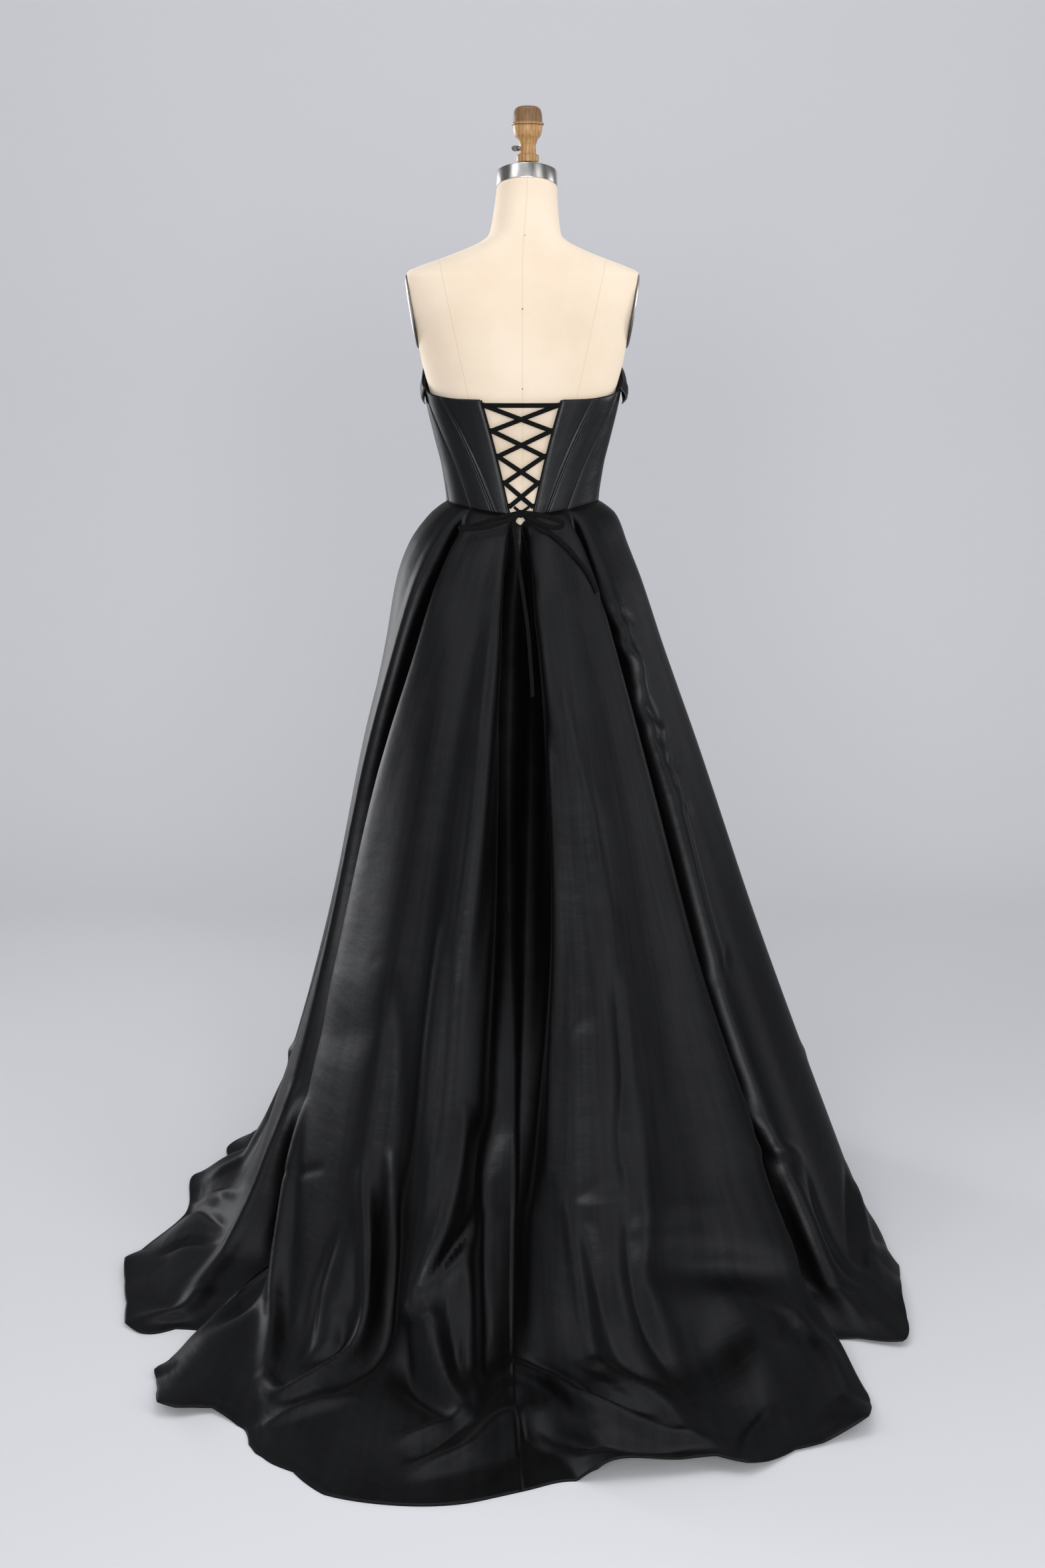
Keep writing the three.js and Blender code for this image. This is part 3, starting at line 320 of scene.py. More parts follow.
class Wire:
    """One socket of a material's node tree. Arithmetic on it adds Math nodes."""

    def __init__(self, tree, socket=None):
        self.tree = tree
        self.socket = socket

    def object_place(self):
        """Places in the object's own space, in metres."""
        return self.node("ShaderNodeTexCoord", output=3)

    def node(self, kind, settings=(), inputs=(), output=0):
        """Adds a node, with its settings first and then its sockets' values or links, and returns
        one of its outputs."""
        made = self.tree.nodes.new(kind)
        for name, value in dict(settings).items():
            setattr(made, name, value)
        for name, value in dict(inputs).items():
            if isinstance(value, Wire):
                self.tree.links.new(value.socket, made.inputs[name])
            else:
                made.inputs[name].default_value = value
        return Wire(self.tree, made.outputs[output])

    def maths(self, operation, first, second):
        return self.node("ShaderNodeMath", {"operation": operation}, {0: first, 1: second})

    def __add__(self, other):
        return self.maths("ADD", self, other)

    def __sub__(self, other):
        return self.maths("SUBTRACT", self, other)

    def __rsub__(self, other):
        return self.maths("SUBTRACT", other, self)

    def __mul__(self, other):
        return self.maths("MULTIPLY", self, other)

    def unsigned(self):
        """This value's size, without its sign."""
        return self.maths("ABSOLUTE", self, 0.0)

    def or_less(self, other):
        """The smaller of this value and the other."""
        return self.maths("MINIMUM", self, other)

    def eased(self, low, high):
        """0 below the low value and 1 above the high one, with an eased step between them."""
        limits = {"Value": self, "From Min": low, "From Max": high}
        return self.node("ShaderNodeMapRange", {"interpolation_type": "SMOOTHSTEP"}, limits)

    def mixed(self, colour, other):
        """The first colour where this value is 0, and the other where it is 1."""
        return self.node("ShaderNodeMix", {"data_type": "RGBA"}, {0: self, 6: colour, 7: other}, 2)

    def noise(self, place, scale, detail=3.0):
        return self.node("ShaderNodeTexNoise", {}, {"Vector": place, "Scale": scale, "Detail": detail})

    def stretched(self, place, x, y, z):
        return self.node("ShaderNodeMapping", {}, {"Vector": place, "Scale": (x, y, z)})

    def bump(self, height, distance, strength):
        relief = {"Height": height, "Distance": distance, "Strength": strength}
        return self.node("ShaderNodeBump", {}, relief)


def new_finish(name):
    """An empty material with its principled shader, and a wire on its node tree."""
    material = bpy.data.materials.new(name)
    material.use_nodes = True
    return material, material.node_tree.nodes["Principled BSDF"], Wire(material.node_tree)


def fill(shader, wire, **sockets):
    """Sets or links the shader's sockets, named with spaces as underscores."""
    for name, value in sockets.items():
        socket = shader.inputs[name.replace("_", " ")]
        if isinstance(value, Wire):
            wire.tree.links.new(value.socket, socket)
        else:
            socket.default_value = value


def duchess_satin(name, gloss_dark, gloss_light, roughness):
    """Duchess satin: its close floats of black yarn act as a dim mirror, so its gloss is set as a
    metal's, a few hundredths seen squarely, which grows less at the edges than a varnish's does. It
    streaks along the fall and clouds over by hand's breadths, the weave shows as a faint grain, and
    the face puckers softly."""
    material, shader, wire = new_finish(name)
    place = wire.node("ShaderNodeUVMap", {"uv_map": "cloth"})
    streaks = wire.noise(wire.stretched(place, 110, 5, 1), 1.0, 4.0)
    clouds = wire.noise(place, 9.0, 2.0)
    grain = wire.noise(wire.stretched(place, 1300, 800, 1), 1.0, 1.0)
    slubs = wire.noise(wire.stretched(place, 50, 380, 1), 1.0, 2.0)
    tone = (streaks * 0.3 + clouds * 0.2 + grain * 0.5).eased(0.3, 0.7)
    puckers = wire.noise(wire.stretched(place, 17, 34, 1), 1.0, 4.0)
    fine = wire.bump(grain * 0.6 + slubs * 0.4, 0.0003, 0.5)
    relief = {"Height": puckers, "Distance": 0.0026, "Strength": 0.4, "Normal": fine}
    puckered = wire.node("ShaderNodeBump", {}, relief)
    fill(
        shader, wire,
        Base_Color=tone.mixed(gloss_dark, gloss_light),
        Metallic=1.0,
        Specular_Tint=(0.5, 0.5, 0.5, 1.0),
        Roughness=streaks * 0.08 + clouds * 0.08 + roughness,
        Sheen_Weight=0.02,
        Sheen_Roughness=0.4,
        Normal=puckered,
    )
    return material


SKIRT_GLOSS_DARK = (0.0140, 0.0142, 0.0149, 1.0)
SKIRT_GLOSS_LIGHT = (0.0265, 0.0269, 0.0284, 1.0)
satin = duchess_satin("duchess_satin", SKIRT_GLOSS_DARK, SKIRT_GLOSS_LIGHT, 0.34)

# The creases that the panels carry between their pleats: the line's points, each a direction and a
# level on the cloth, then the crease's half-width and how far it stands out, or goes in if under 0.
CREASES = (
    ("left panel roll", ((80, 940), (79, 800), (78.5, 625), (78, 480)), 17, 8),
    ("left panel roll crease", ((77, 800), (75.5, 635), (74.5, 500)), 9, -4),
    ("left second roll", ((72, 520), (72.5, 390), (73, 255), (71, 170)), 17, 8),
    ("left second crease", ((75, 500), (75.5, 380), (76, 270)), 10, -6),
    ("left shoulder trough", ((30, 335), (50, 365), (63, 400)), 34, -3),
    ("left shoulder fall", ((62, 440), (65, 330), (66.5, 215)), 17, -8),
    ("left shoulder crest", ((22, 395), (50, 440), (64, 465)), 24, 1),
    ("left crinkle one", ((52, 470), (64, 490)), 7, -1.2),
    ("left crinkle two", ((69.5, 482), (78, 500)), 7, -1.2),
    ("left edge roll", ((36, 1030), (32, 920), (28.5, 820), (23, 680)), 13, 5),
    ("centre valley", (
        (87.5, 1095), (86, 980), (86, 880), (88, 700), (88.5, 515), (86.5, 345), (85.5, 200),
    ), 28, -44),
    ("centre valley foot", ((85.5, 260), (86, 150), (86, 60), (85.5, 5)), 28, -42),
    ("valley right wall", ((92, 1000), (93, 820), (94, 660), (93.5, 490), (91.5, 330), (90, 200)), 22, -26),
    ("valley right edge", ((97, 1000), (98, 850), (98.6, 700), (98, 560), (96, 400), (94.5, 240)), 11, 8),
    ("left gap top", ((41.3, 1108), (40.5, 1020), (38.5, 890), (33, 740)), 11, -20),
    ("left gap middle", ((34, 760), (27, 600), (23.5, 480), (24, 340)), 11, -14),
    ("right panel roll", ((98, 1020), (101, 895), (104, 795), (107.5, 685), (109, 550)), 15, 6),
    ("right panel crease", ((95.5, 945), (97, 855), (99.5, 745)), 9, -6),
    ("right panel low roll", ((95, 360), (100, 415), (108, 430)), 11, 2.2),
    ("right long crease", ((108.5, 470), (107.5, 345), (106, 280), (106, 215)), 10, -5),
    ("right long crease foot", ((105.5, 190), (105, 130), (105.5, 60), (107.5, -5), (109, -70)), 10, -7),
    ("right long ridge", ((110, 330), (108.5, 200), (107.5, 110), (109.5, 25)), 16, 5),
    ("right inner ridge", ((97, 205), (97.5, 140), (98, 65), (99, 5)), 9, 7),
    ("right inner ridge foot", ((99, 15), (102.5, -35), (106, -90), (107, -155)), 10, 12),
    ("right inner trough", ((99.5, 170), (100.5, 100), (102, 20), (106.5, -40)), 13, -9),
    ("right crinkle one", ((98, 212), (101, 225), (105.5, 240)), 9, 2.2),
    ("right crinkle two", ((97.5, 200), (101.5, 200), (105, 201)), 8, -2.4),
    ("right crinkle three", ((105.5, 187), (113.5, 181), (122, 174)), 9, 1.6),
    ("right crinkle four", ((105, 168), (111, 165), (119, 155)), 9, -1.8),
    ("right gap top", ((131.3, 1108), (130.8, 980), (130.5, 840), (130.5, 640)), 11, -20),
    ("right gap middle", ((130.5, 660), (131.5, 500), (132.5, 395), (133.5, 290)), 10, -13),
    ("right gap foot", ((133.5, 310), (134, 210), (134.5, 135), (136, 40)), 13, -18),
    ("side roll top", ((131, 1020), (136, 940), (137, 840)), 12, 6),
    ("side roll buckle one", ((128, 985), (136, 955), (142, 950)), 9, -4),
    ("side roll buckle two", ((130, 925), (136.5, 896), (137, 850)), 9, 4),
    ("side roll buckle three", ((135, 835), (138, 805), (136.5, 770)), 9, -5),
    ("side roll buckle four", ((134, 905), (138, 880), (141, 868)), 8, 4),
    ("side roll buckle five", ((135, 800), (139, 785), (144, 790)), 9, 5),
    ("side roll buckle six", ((136, 745), (141, 730), (146, 742)), 9, -4),
    ("side roll buckle seven", ((137, 700), (141.5, 672), (145, 668)), 9, 4),
    ("side roll middle", ((137.5, 785), (137, 665), (136.5, 540), (137, 440)), 15, 8),
    ("side roll low", ((133, 330), (134, 285), (139, 220)), 16, 7),
    ("side roll pinch", ((135, 440), (143, 465)), 9, -5),
    ("side roll shelf", ((132, 225), (140, 200), (146, 175)), 13, 7),
    ("side foot ridge", ((140, 160), (141, 80), (142, -10), (144, -160)), 15, 13),
    ("side foot trough", ((146, 145), (144.5, 75), (146, 0)), 13, -9),
    ("side outer crease", ((168, 90), (158, 40), (150, 0)), 12, -8),
    ("side outer ridge", ((172, 60), (160, -20), (152, -60)), 12, 7),
    ("dome", ((120.5, 60), (120, 0), (118.5, -95)), 48, 32),
    ("dome trough", ((107, 130), (121, 98), (133, 58)), 30, -17),
    ("dome rim", ((122, 55), (128, 30), (129, -55), (127.5, -170)), 12, 10),
    ("dome crease", ((127, 15), (121.5, -25)), 8, -5),
    ("corner crinkle", ((118, -110), (113.5, -150), (112, -190)), 8, 6),
    ("arch rim", ((88.5, 10), (93, -22), (97, -70), (101, -112), (105, -140), (109.5, -172)), 10, 19),
    ("arch trough", ((91, 14), (96, -20), (99.5, -58), (104, -90)), 9, -11),
    ("arch facing", ((92, -90), (96.5, -135), (101, -165), (106, -178)), 12, -13),
    ("flap roll", ((24, 230), (24.5, 130), (26.5, 25), (30.5, -95)), 15, 14),
    ("flap roll end", ((31, -80), (31, -135), (28.5, -165)), 14, 12),
    ("left gap foot", ((27, 190), (33, 60), (43, 0), (43, -60)), 24, -32),
    ("flap pinch", ((352.5, -130), (8, -20), (19, 15)), 10, -9),
    ("flap shelf", ((348, -150), (355, -40), (15, 60)), 11, 8),
    ("flap crease", ((14, -105), (16, -55), (21.5, -5)), 10, -7),
    ("tube edge", ((38, 240), (43, 140), (50, 30), (57, -80)), 15, 18),
    ("tube inner", ((60, 135), (59, 65), (61.5, -15)), 9, -6),
    ("tube right", ((62.5, 210), (66, 105), (68, 30), (66.5, -15), (61.5, -85), (57, -92)), 11, 17),
    ("tube right trough", ((66.5, 225), (70, 90), (71, 10), (67.5, -50)), 15, -18),
    ("tube shadow", ((64, 60), (66, 15), (63, -25)), 14, -9),
    ("tube crinkle", ((40, 150), (52, 190)), 7, -3),
    ("ridge to the pinch", ((80, 300), (79, 220), (77.5, 150), (75, 85)), 13, 13),
    ("black wedge", ((83.5, 280), (82, 180), (78.5, 135), (76, 95)), 12, -15),
    ("second shoulder", ((84, 170), (82, 142), (78.5, 115)), 11, 7),
    ("left of the v", ((73, 65), (77, 5), (83, -60)), 20, -18),
    ("v left", ((77, 90), (80, 17), (83.5, -58)), 13, 16),
    ("v crease", ((79.5, 110), (81.5, 36), (84, -50)), 7, -6),
    ("v right", ((82.5, 135), (83.5, 45), (84.3, -58)), 14, 16),
    ("pinch", ((74, 80), (76.5, 72), (78.5, 80)), 8, 6),
    ("slit", ((79, -118), (81.5, -88), (84, -66)), 8, -8),
    ("slit ridge", ((77.5, -92), (80.5, -72), (83.5, -56)), 9, 9),
    ("slit low ridge", ((80, -135), (84.5, -112), (87.5, -76), (90, -62)), 14, 15),
    ("under the v", ((84.5, -62), (85.5, -35), (87, -10)), 10, -8),
    ("train patch edge", ((89, -35), (90.5, -105), (91.5, -198)), 10, -12),
    ("floor layer", ((61, -160), (65, -90), (70, -55)), 12, 8),
    ("front left fall", ((296, 880), (297, 640), (295, 400), (297, 140)), 24, 7),
    ("front left crease", ((301, 560), (303, 380), (301, 210)), 11, -5),
    ("front right fall", ((247, 820), (246, 600), (247, 380), (245, 120)), 22, 7),
    ("front right crease", ((241, 620), (240, 420), (242, 260)), 11, -5),
    ("front shelf", ((262, 300), (271, 285), (283, 310)), 16, 5),
    ("front crinkle", ((258, 180), (266, 170), (274, 178)), 9, -4),
    ("front foot fold", ((262, 150), (266, 50), (270, -60)), 15, 10),
    ("front foot trough", ((276, 160), (277, 60), (279, -40)), 15, -9),
    ("left front fall", ((316, 800), (315, 560), (314, 320), (312, 60)), 20, 7),
    ("left front pinch", ((318, 420), (310, 405)), 9, -4),
    ("left side fall", ((345, 840), (346, 600), (347, 360), (350, 110)), 22, 8),
    ("left side crease", ((352, 520), (352, 330), (354, 180)), 11, -6),
    ("left side shelf", ((340, 230), (348, 215), (357, 235)), 12, 5),
    ("left side foot", ((341, 150), (340, 50), (342, -90)), 15, 11),
    ("right front fall", ((228, 830), (227, 560), (228, 310), (230, 60)), 20, 7),
    ("right front crinkle", ((223, 260), (231, 250)), 8, -4),
    ("right side fall", ((196, 860), (197, 620), (196, 380), (198, 130)), 22, 8),
    ("right side crease", ((178, 700), (177, 500), (179, 300)), 12, -6),
    ("right side shelf", ((172, 260), (182, 245), (192, 262)), 13, 5),
    ("right side foot", ((184, 140), (183, 40), (185, -90)), 15, 11),
)
# A crease fades out this near the waist seam, and is left out this many half-widths from its line.
# Its line has this many points for each half-width, and so many more, from tip to tip.
CREASE_FADE = 28.0
CREASE_REACH = 2.6
CREASE_POINTS = 4
MORE_POINTS = 6
CREASE_TIP = 0.02
# The train doesn't lie quite flat: it stands off the floor by its own stiffness between the bend
# and the hem, by this much, about this level and over this many levels.
TRAIN_LOFT = 15.0
LOFT_LEVEL = -45.0
LOFT_SPREAD = 75.0
# Corners of the hem where a pleat's edge lies on the floor: the corner's direction, how far it is
# drawn out along X, Y and Z, and how wide round it the cloth follows.
HEM_CORNERS = (
    ("flap back corner", 10, (9, -11, 6), 55),
    ("flap outer corner", 26.9, (11, 9, 2), 55),
    ("flap edge", 32.8, (0, -18, 0), 45),
    ("layer corner", 41, (6, 9, 8), 28),
    ("tube outer corner", 48.8, (11, 13, 4), 42),
    ("tube notch", 54, (-2, -20, 0), 42),
    ("train left corner", 61, (6, 4, 0), 40),
    ("train left edge", 67, (-14, -12, 0), 70),
    ("arch edge", 97.5, (2, 10, -36), 150),
    ("train right notch", 112.1, (0, 15, 4), 40),
    ("train right edge", 118.2, (4, -10, 0), 45),
    ("train right corner", 126.4, (-15, 13, 16), 55),
    ("side outer corner", 146.9, (-7, 15, 2), 50),
    ("side back corner", 169, (-5, -8, 4), 50),
)


def on_cloth(direction, level, points, ways, levels):
    """The point of the skirt's grid nearest to a direction at a level."""
    row = np.abs(levels - level).argmin()
    off = np.abs((ways[:, row] - direction + 180) % 360 - 180)
    return points[off.argmin(), row]


def creased(points, normals, levels):
    """The grid moved along its normals by each crease: a bell-shaped ridge or trough about a curve
    through the crease's points, which swells along it as the square root of a half sine wave. Then
    the train is lofted by a bell-shaped bulge, and the hem is drawn out at each of its corners."""
    centre = track(BELL[:, 0], BELL[:, 1], levels)[:, 0]
    ways = np.degrees(np.arctan2(points[..., 1] - centre, points[..., 0])) % 360
    moved = np.zeros(points.shape[:2])
    for _, route, width, height in CREASES:
        line = np.array([on_cloth(*place, points, ways, levels) for place in route])
        count = int(steps(line).sum() / width * CREASE_POINTS) + MORE_POINTS
        line = spline(line, count)
        swell = np.sqrt(np.sin(np.pi * np.linspace(CREASE_TIP, 1 - CREASE_TIP, count)))
        reach = CREASE_REACH * width
        near = np.all((points > line.min(0) - reach) & (points < line.max(0) + reach), axis=-1)
        gap = np.linalg.norm(points[near][:, None] - line, axis=-1)
        moved[near] += height * (swell * np.exp(-((gap / width) ** 2))).max(1)
    moved *= np.clip((TOP_LEVEL - levels) / CREASE_FADE, 0, 1)
    lofted = points.copy()
    lofted[:, :-1, 2] += TRAIN_LOFT * np.exp(-(((levels[:-1] - LOFT_LEVEL) / LOFT_SPREAD) ** 2))
    shifted = lofted + normals * moved[..., None]
    for _, direction, pull, width in HEM_CORNERS:
        corner = on_cloth(direction, HEM_LEVEL, points, ways, levels)
        gap = np.linalg.norm(points - corner, axis=-1)
        shifted += np.array(pull, float) * np.maximum(0, 1 - gap / width)[..., None]
    shifted[..., 2] = np.maximum(shifted[..., 2], 0)
    return shifted


def spline(points, count):
    """Evenly spaced points along the centripetal Catmull-Rom curve through some points."""
    p = np.asarray(points, float)
    padded = np.concatenate([[2 * p[0] - p[1]], p, [2 * p[-1] - p[-2]]])
    t = np.linspace(0, 1, 24, endpoint=False)[:, None]
    stretches = [curve_between(*padded[k:k + 4], t) for k in range(len(p) - 1)]
    fine = np.concatenate([*stretches, p[-1:]])
    walked = np.concatenate([[0], np.cumsum(steps(fine))])
    places = np.linspace(0, walked[-1], count)
    return np.stack([np.interp(places, walked, fine[:, k]) for k in range(3)], -1)


# Rows of points, closer together at the waist and near the floor.
skirt_levels = np.concatenate([
    np.linspace(1120, 1040, 14)[:-1],
    np.linspace(1040, 320, 104)[:-1],
    np.linspace(320, 60, 58)[:-1],
    np.linspace(60, -40, 26)[:-1],
    np.linspace(-40, -200, 36),
])
plain_skirt, fold_starts = round_of_points(fold_lines(skirt_levels))
skirt_inside = creased(plain_skirt, outward(plain_skirt), skirt_levels)
skirt_normal = outward(skirt_inside)
# At the waist the cloth thickens level, so that its top edge stays on the seam.
skirt_normal[:, 0, 2] = 0
skirt_normal /= np.linalg.norm(skirt_normal, axis=-1, keepdims=True)
fold_names = [f[0] for f in FOLDS]
around = len(skirt_inside)


def skirt_panel(from_fold, to_fold):
    """The inner and outer grids of the columns between two folds, its first and last column moved
    in by half a sewn gap, its top row lowered by half a seam gap, and the outer grid a cloth
    further out."""
    first = fold_starts[fold_names.index(from_fold)]
    last = fold_starts[fold_names.index(to_fold)]
    columns = np.arange(first, last + 1 + (around if last <= first else 0)) % around
    inner = skirt_inside[columns].copy()
    normal = skirt_normal[columns]
    for edge, beside in ((0, 1), (-1, -2)):
        toward = skirt_inside[columns[beside]] - skirt_inside[columns[edge]]
        toward /= np.maximum(np.linalg.norm(toward, axis=-1, keepdims=True), 1e-9)
        inner[edge] += toward * SEWN_GAP / 2
    inner[:, 0, 2] -= SEAM_GAP / 2
    outer = inner + normal * CLOTH
    outer[..., 2] = np.maximum(outer[..., 2], 0)
    return inner, outer


for name, from_fold, to_fold in SKIRT_PIECES:
    inner, outer = skirt_panel(from_fold, to_fold)
    panel = cloth_wall(name + "_satin", inner, outer)
    declare_cut(outer)
    finish_piece(panel, satin, name)

# The bodice. Nine boned panels of the same satin, four in each half and one at the centre front. A
# narrow boning channel covers each back seam and each edge of the centre front, and the other seams
# are plain. The back is cut away in an open V.
# Height, then the inside face's half-widths at the side, back and front.
BODICE = np.array([
    (1095, 119, 95.5, 98),
    (1120, 119.5, 96, 99),
    (1170, 126, 97, 108),
    (1225, 138, 99.5, 122),
    (1280, 150, 103, 134),
    (1345, 160, 107, 134),
], float)
CUP_DIRECTION = 33.0
CUP_HEIGHT = 1262.0
CUP_OUT = 15.0
CUP_SPREAD = 19.0
CUP_TALL = 38.0
# Degrees from the centre back, and the top edge's height there.
NECKLINE = np.array([
    (0, 1282), (50, 1283), (72, 1288), (84, 1296), (96, 1314),
    (108, 1337), (124, 1331), (150, 1303), (168, 1277), (180, 1264),
], float)
# Each seam's direction from the centre back at its top and bottom, on the left and on the right.
BODICE_SEAMS = {
    "opening": ((35.3, 12.8), (33.3, 10.4)),
    "back seam": ((65, 25.5), (58, 21)),
    "side back seam": ((86, 47.6), (79.7, 41.2)),
    "side seam": ((108, 78), (108, 78)),
    "front seam": ((163, 152), (163, 152)),
}
CHANNEL_HALF_WIDTH = 3.7
CHANNEL_HEIGHT = 1.4
CHANNEL_EDGE = 0.3
STITCH_GROOVE = 0.6
GROOVE_WIDTH = 0.9
SEAM_NICK = 0.7
SEAM_DIP = 1.2
SEAM_DIP_WIDTH = 2.4
# A panel's relief falls to this share at its edges, over these shares of its height.
EDGE_SHARE = 0.3
TOP_FADE = 0.03
FOOT_FADE = 0.02
# About how far the bodice stands from its own middle, to turn a gap into degrees.
BODICE_REACH = 120.0
SEAM_HALF_GAP = SEAM_GAP / 2 / np.radians(BODICE_REACH)

# The same satin again as a lit copy, its gloss painted lighter: painted light that stands in for the
# brighter light falling on the bodice.
LIT_COPY_GLOSS_DARK = (0.021, 0.0213, 0.0224, 1.0)
LIT_COPY_GLOSS_LIGHT = (0.038, 0.0385, 0.0405, 1.0)
lit_copy_satin = duchess_satin("lit_copy_satin", LIT_COPY_GLOSS_DARK, LIT_COPY_GLOSS_LIGHT, 0.33)


def neckline(from_back):
    """The top edge's height in a direction."""
    flat = track(NECKLINE[:, 0], NECKLINE[:, 1], from_back.ravel())
    return flat.reshape(from_back.shape)


def bodice_point(from_back, side, height, out):
    """A point on the bodice's inside face, moved out: the egg-shaped section at its height, with a
    bell-shaped swelling for the cup."""
    angle = np.pi / 2 - side * np.radians(from_back)
    half_widths = track(BODICE[:, 0], BODICE[:, 1:], height.ravel()).T
    wide, back, front = half_widths.reshape(3, *height.shape)
    across = (180 - from_back - CUP_DIRECTION) / CUP_SPREAD
    cup = CUP_OUT * np.exp(-(across**2) - ((height - CUP_HEIGHT) / CUP_TALL) ** 2)
    reach = egg_reach(angle, wide, wide, back, front) + cup + out
    return np.stack([reach * np.cos(angle), reach * np.sin(angle), height], -1)


def seam_ends(name, side):
    """A seam's direction at its top and at its bottom."""
    return BODICE_SEAMS[name][0 if side > 0 else 1]


def seam_relief(distance, boned):
    """How far the cloth stands out beside a seam: a flat boning channel with a stitched groove at
    its border and a nick at the seam itself, or a soft dip into a plain seam."""
    if not boned:
        return -SEAM_DIP * np.exp(-((distance / SEAM_DIP_WIDTH) ** 2))
    past = distance - CHANNEL_HALF_WIDTH
    flat = 1 / (1 + np.exp(past / CHANNEL_EDGE))
    groove = np.exp(-(((past - GROOVE_WIDTH) / GROOVE_WIDTH) ** 2))
    nick = SEAM_NICK * np.exp(-((distance / SEAM_NICK) ** 2))
    return CHANNEL_HEIGHT * flat - STITCH_GROOVE * groove - nick


def shares(columns, rows):
    """How far across and how far down each point of a panel lies, from 0 to 1, [across][down]."""
    return np.meshgrid(np.linspace(0, 1, columns + 1), np.linspace(0, 1, rows + 1), indexing="ij")


def panel_rows(top, bottom, down):
    """Directions and heights of a panel's points: the directions run straight from the top edge to
    the waist seam, and the heights from the neckline to the waist."""
    low = seam_height(np.pi / 2 - np.radians(bottom)) + SEAM_GAP / 2
    high = neckline(top)
    return top + (bottom - top) * down, high + (low - high) * down


def bodice_piece(name, inner, outer, flat):
    """A panel of the bodice from its inner and outer grids; its face without relief is passed to
    declare_cut.
    """
    piece = cloth_wall(name + "_satin", inner, outer)
    declare_cut(flat)
    finish_piece(piece, lit_copy_satin, name)


def bodice_panel(name, side, ends, boned, crown, columns=40, rows=60):
    """A panel between two seams, whose outer face carries the seams' relief and a shallow crown
    across its middle, both weaker at its top and bottom edges."""
    across, down = shares(columns, rows)
    share = 1 - across if side > 0 else across
    (from_top, from_bottom), (to_top, to_bottom) = ends
    top = from_top + (to_top - from_top) * share
    bottom = from_bottom + (to_bottom - from_bottom) * share
    direction, height = panel_rows(top, bottom, down)
    direction[share == 0] += SEAM_HALF_GAP
    direction[share == 1] -= SEAM_HALF_GAP
    inner = bodice_point(direction, side, height, 0)
    flat = bodice_point(direction, side, height, CLOTH)
    wide = steps(flat).sum(0)
    relief = seam_relief(share * wide, boned[0]) + seam_relief((1 - share) * wide, boned[1])
    relief += crown * 4 * share * (1 - share)
    fade = np.clip(down / TOP_FADE, 0, 1) * np.clip((1 - down) / FOOT_FADE, 0, 1)
    relief *= EDGE_SHARE + (1 - EDGE_SHARE) * fade
    outer = bodice_point(direction, side, height, CLOTH + relief)
    bodice_piece(name, inner, outer, flat)


SIDES = (("left", 1), ("right", -1))
# Each panel's seams, whether each has a boning channel, and its crown.
BODICE_PIECES = (
    ("bodice_back", "opening", "back seam", (False, True), 0.6),
    ("bodice_side_back", "back seam", "side back seam", (True, False), 1.6),
    ("bodice_side", "side back seam", "side seam", (False, False), 1.6),
    ("bodice_cup", "side seam", "front seam", (False, False), 0.4),
)
for word, side in SIDES:
    for name, from_seam, to_seam, boned, crown in BODICE_PIECES:
        ends = seam_ends(from_seam, side), seam_ends(to_seam, side)
        bodice_panel(f"{name}_{word}", side, ends, boned, crown)


def centre_front_panel(columns=50, rows=60):
    """The one panel across the centre front, between the two front seams."""
    across, down = shares(columns, rows)
    off_centre = 1 - 2 * across
    from_centre = np.abs(off_centre)
    front_top, front_bottom = seam_ends("front seam", 1)
    top = 180 - (180 - front_top - SEAM_HALF_GAP) * from_centre
    bottom = 180 - (180 - front_bottom - SEAM_HALF_GAP) * from_centre
    direction, height = panel_rows(top, bottom, down)
    side = np.where(off_centre < 0, 1, -1)
    inner = bodice_point(direction, side, height, 0)
    flat = bodice_point(direction, side, height, CLOTH)
    relief = seam_relief((1 - from_centre) * steps(flat).sum(0) / 2, True)
    outer = bodice_point(direction, side, height, CLOTH + relief)
    bodice_piece("bodice_centre_front", inner, outer, flat)


centre_front_panel()

# The folded bands. A bias strip of satin folded over each cup's top edge. It stands off the cup
# along its lower edge and peaks at the side in a pointed ear, which shows from behind.
BAND_FROM = 84.0
BAND_TO = 172.0
BAND_TALL = 42.0
BAND_SIDE_SHARE = 0.62
BAND_LIFT = 3.0
BAND_CLEAR = 0.7
BAND_FLARE = {"left": 5.5, "right": 11.0}
BAND_FULLEST = 1.1
BAND_ROLL = 0.78
BAND_CURL = 1.4
BROAD_PULL = 0.5
BROAD_WAVES = 0.55
FINE_PULL = 0.35
FINE_WAVES = 1.3
FINE_SLANT = 5


def folded_band(word, side, columns=150, rows=36):
    """A band follows the neckline, narrows to a share of its depth at its side end, and stands off
    most two thirds of the way down. Shallow sine waves pull across it."""
    across, down = shares(columns, rows)
    share = 1 - across if side > 0 else across
    from_back = BAND_FROM + (BAND_TO - BAND_FROM) * share
    fullness = np.sin(np.pi * np.clip(share * BAND_FULLEST, 0, 1))
    tall = BAND_TALL * (BAND_SIDE_SHARE + (1 - BAND_SIDE_SHARE) * fullness)
    height = neckline(from_back) + BAND_LIFT - tall * down
    flare = BAND_FLARE[word] * np.sin(np.pi * np.minimum(down * BAND_ROLL, 1)) ** BAND_CURL
    out = CLOTH + BAND_CLEAR + flare
    middle = np.sin(np.pi * down)
    pull = BROAD_PULL * np.sin(from_back * BROAD_WAVES) * middle
    pull += FINE_PULL * np.sin(from_back * FINE_WAVES + FINE_SLANT * down)
    inner = bodice_point(from_back, side, height, out)
    outer = bodice_point(from_back, side, height, out + CLOTH + pull * middle)
    piece = cloth_wall(f"folded_band_{word}_satin", inner, outer)
    declare_cut(outer)
    finish_piece(piece, lit_copy_satin, f"folded_band_{word}")


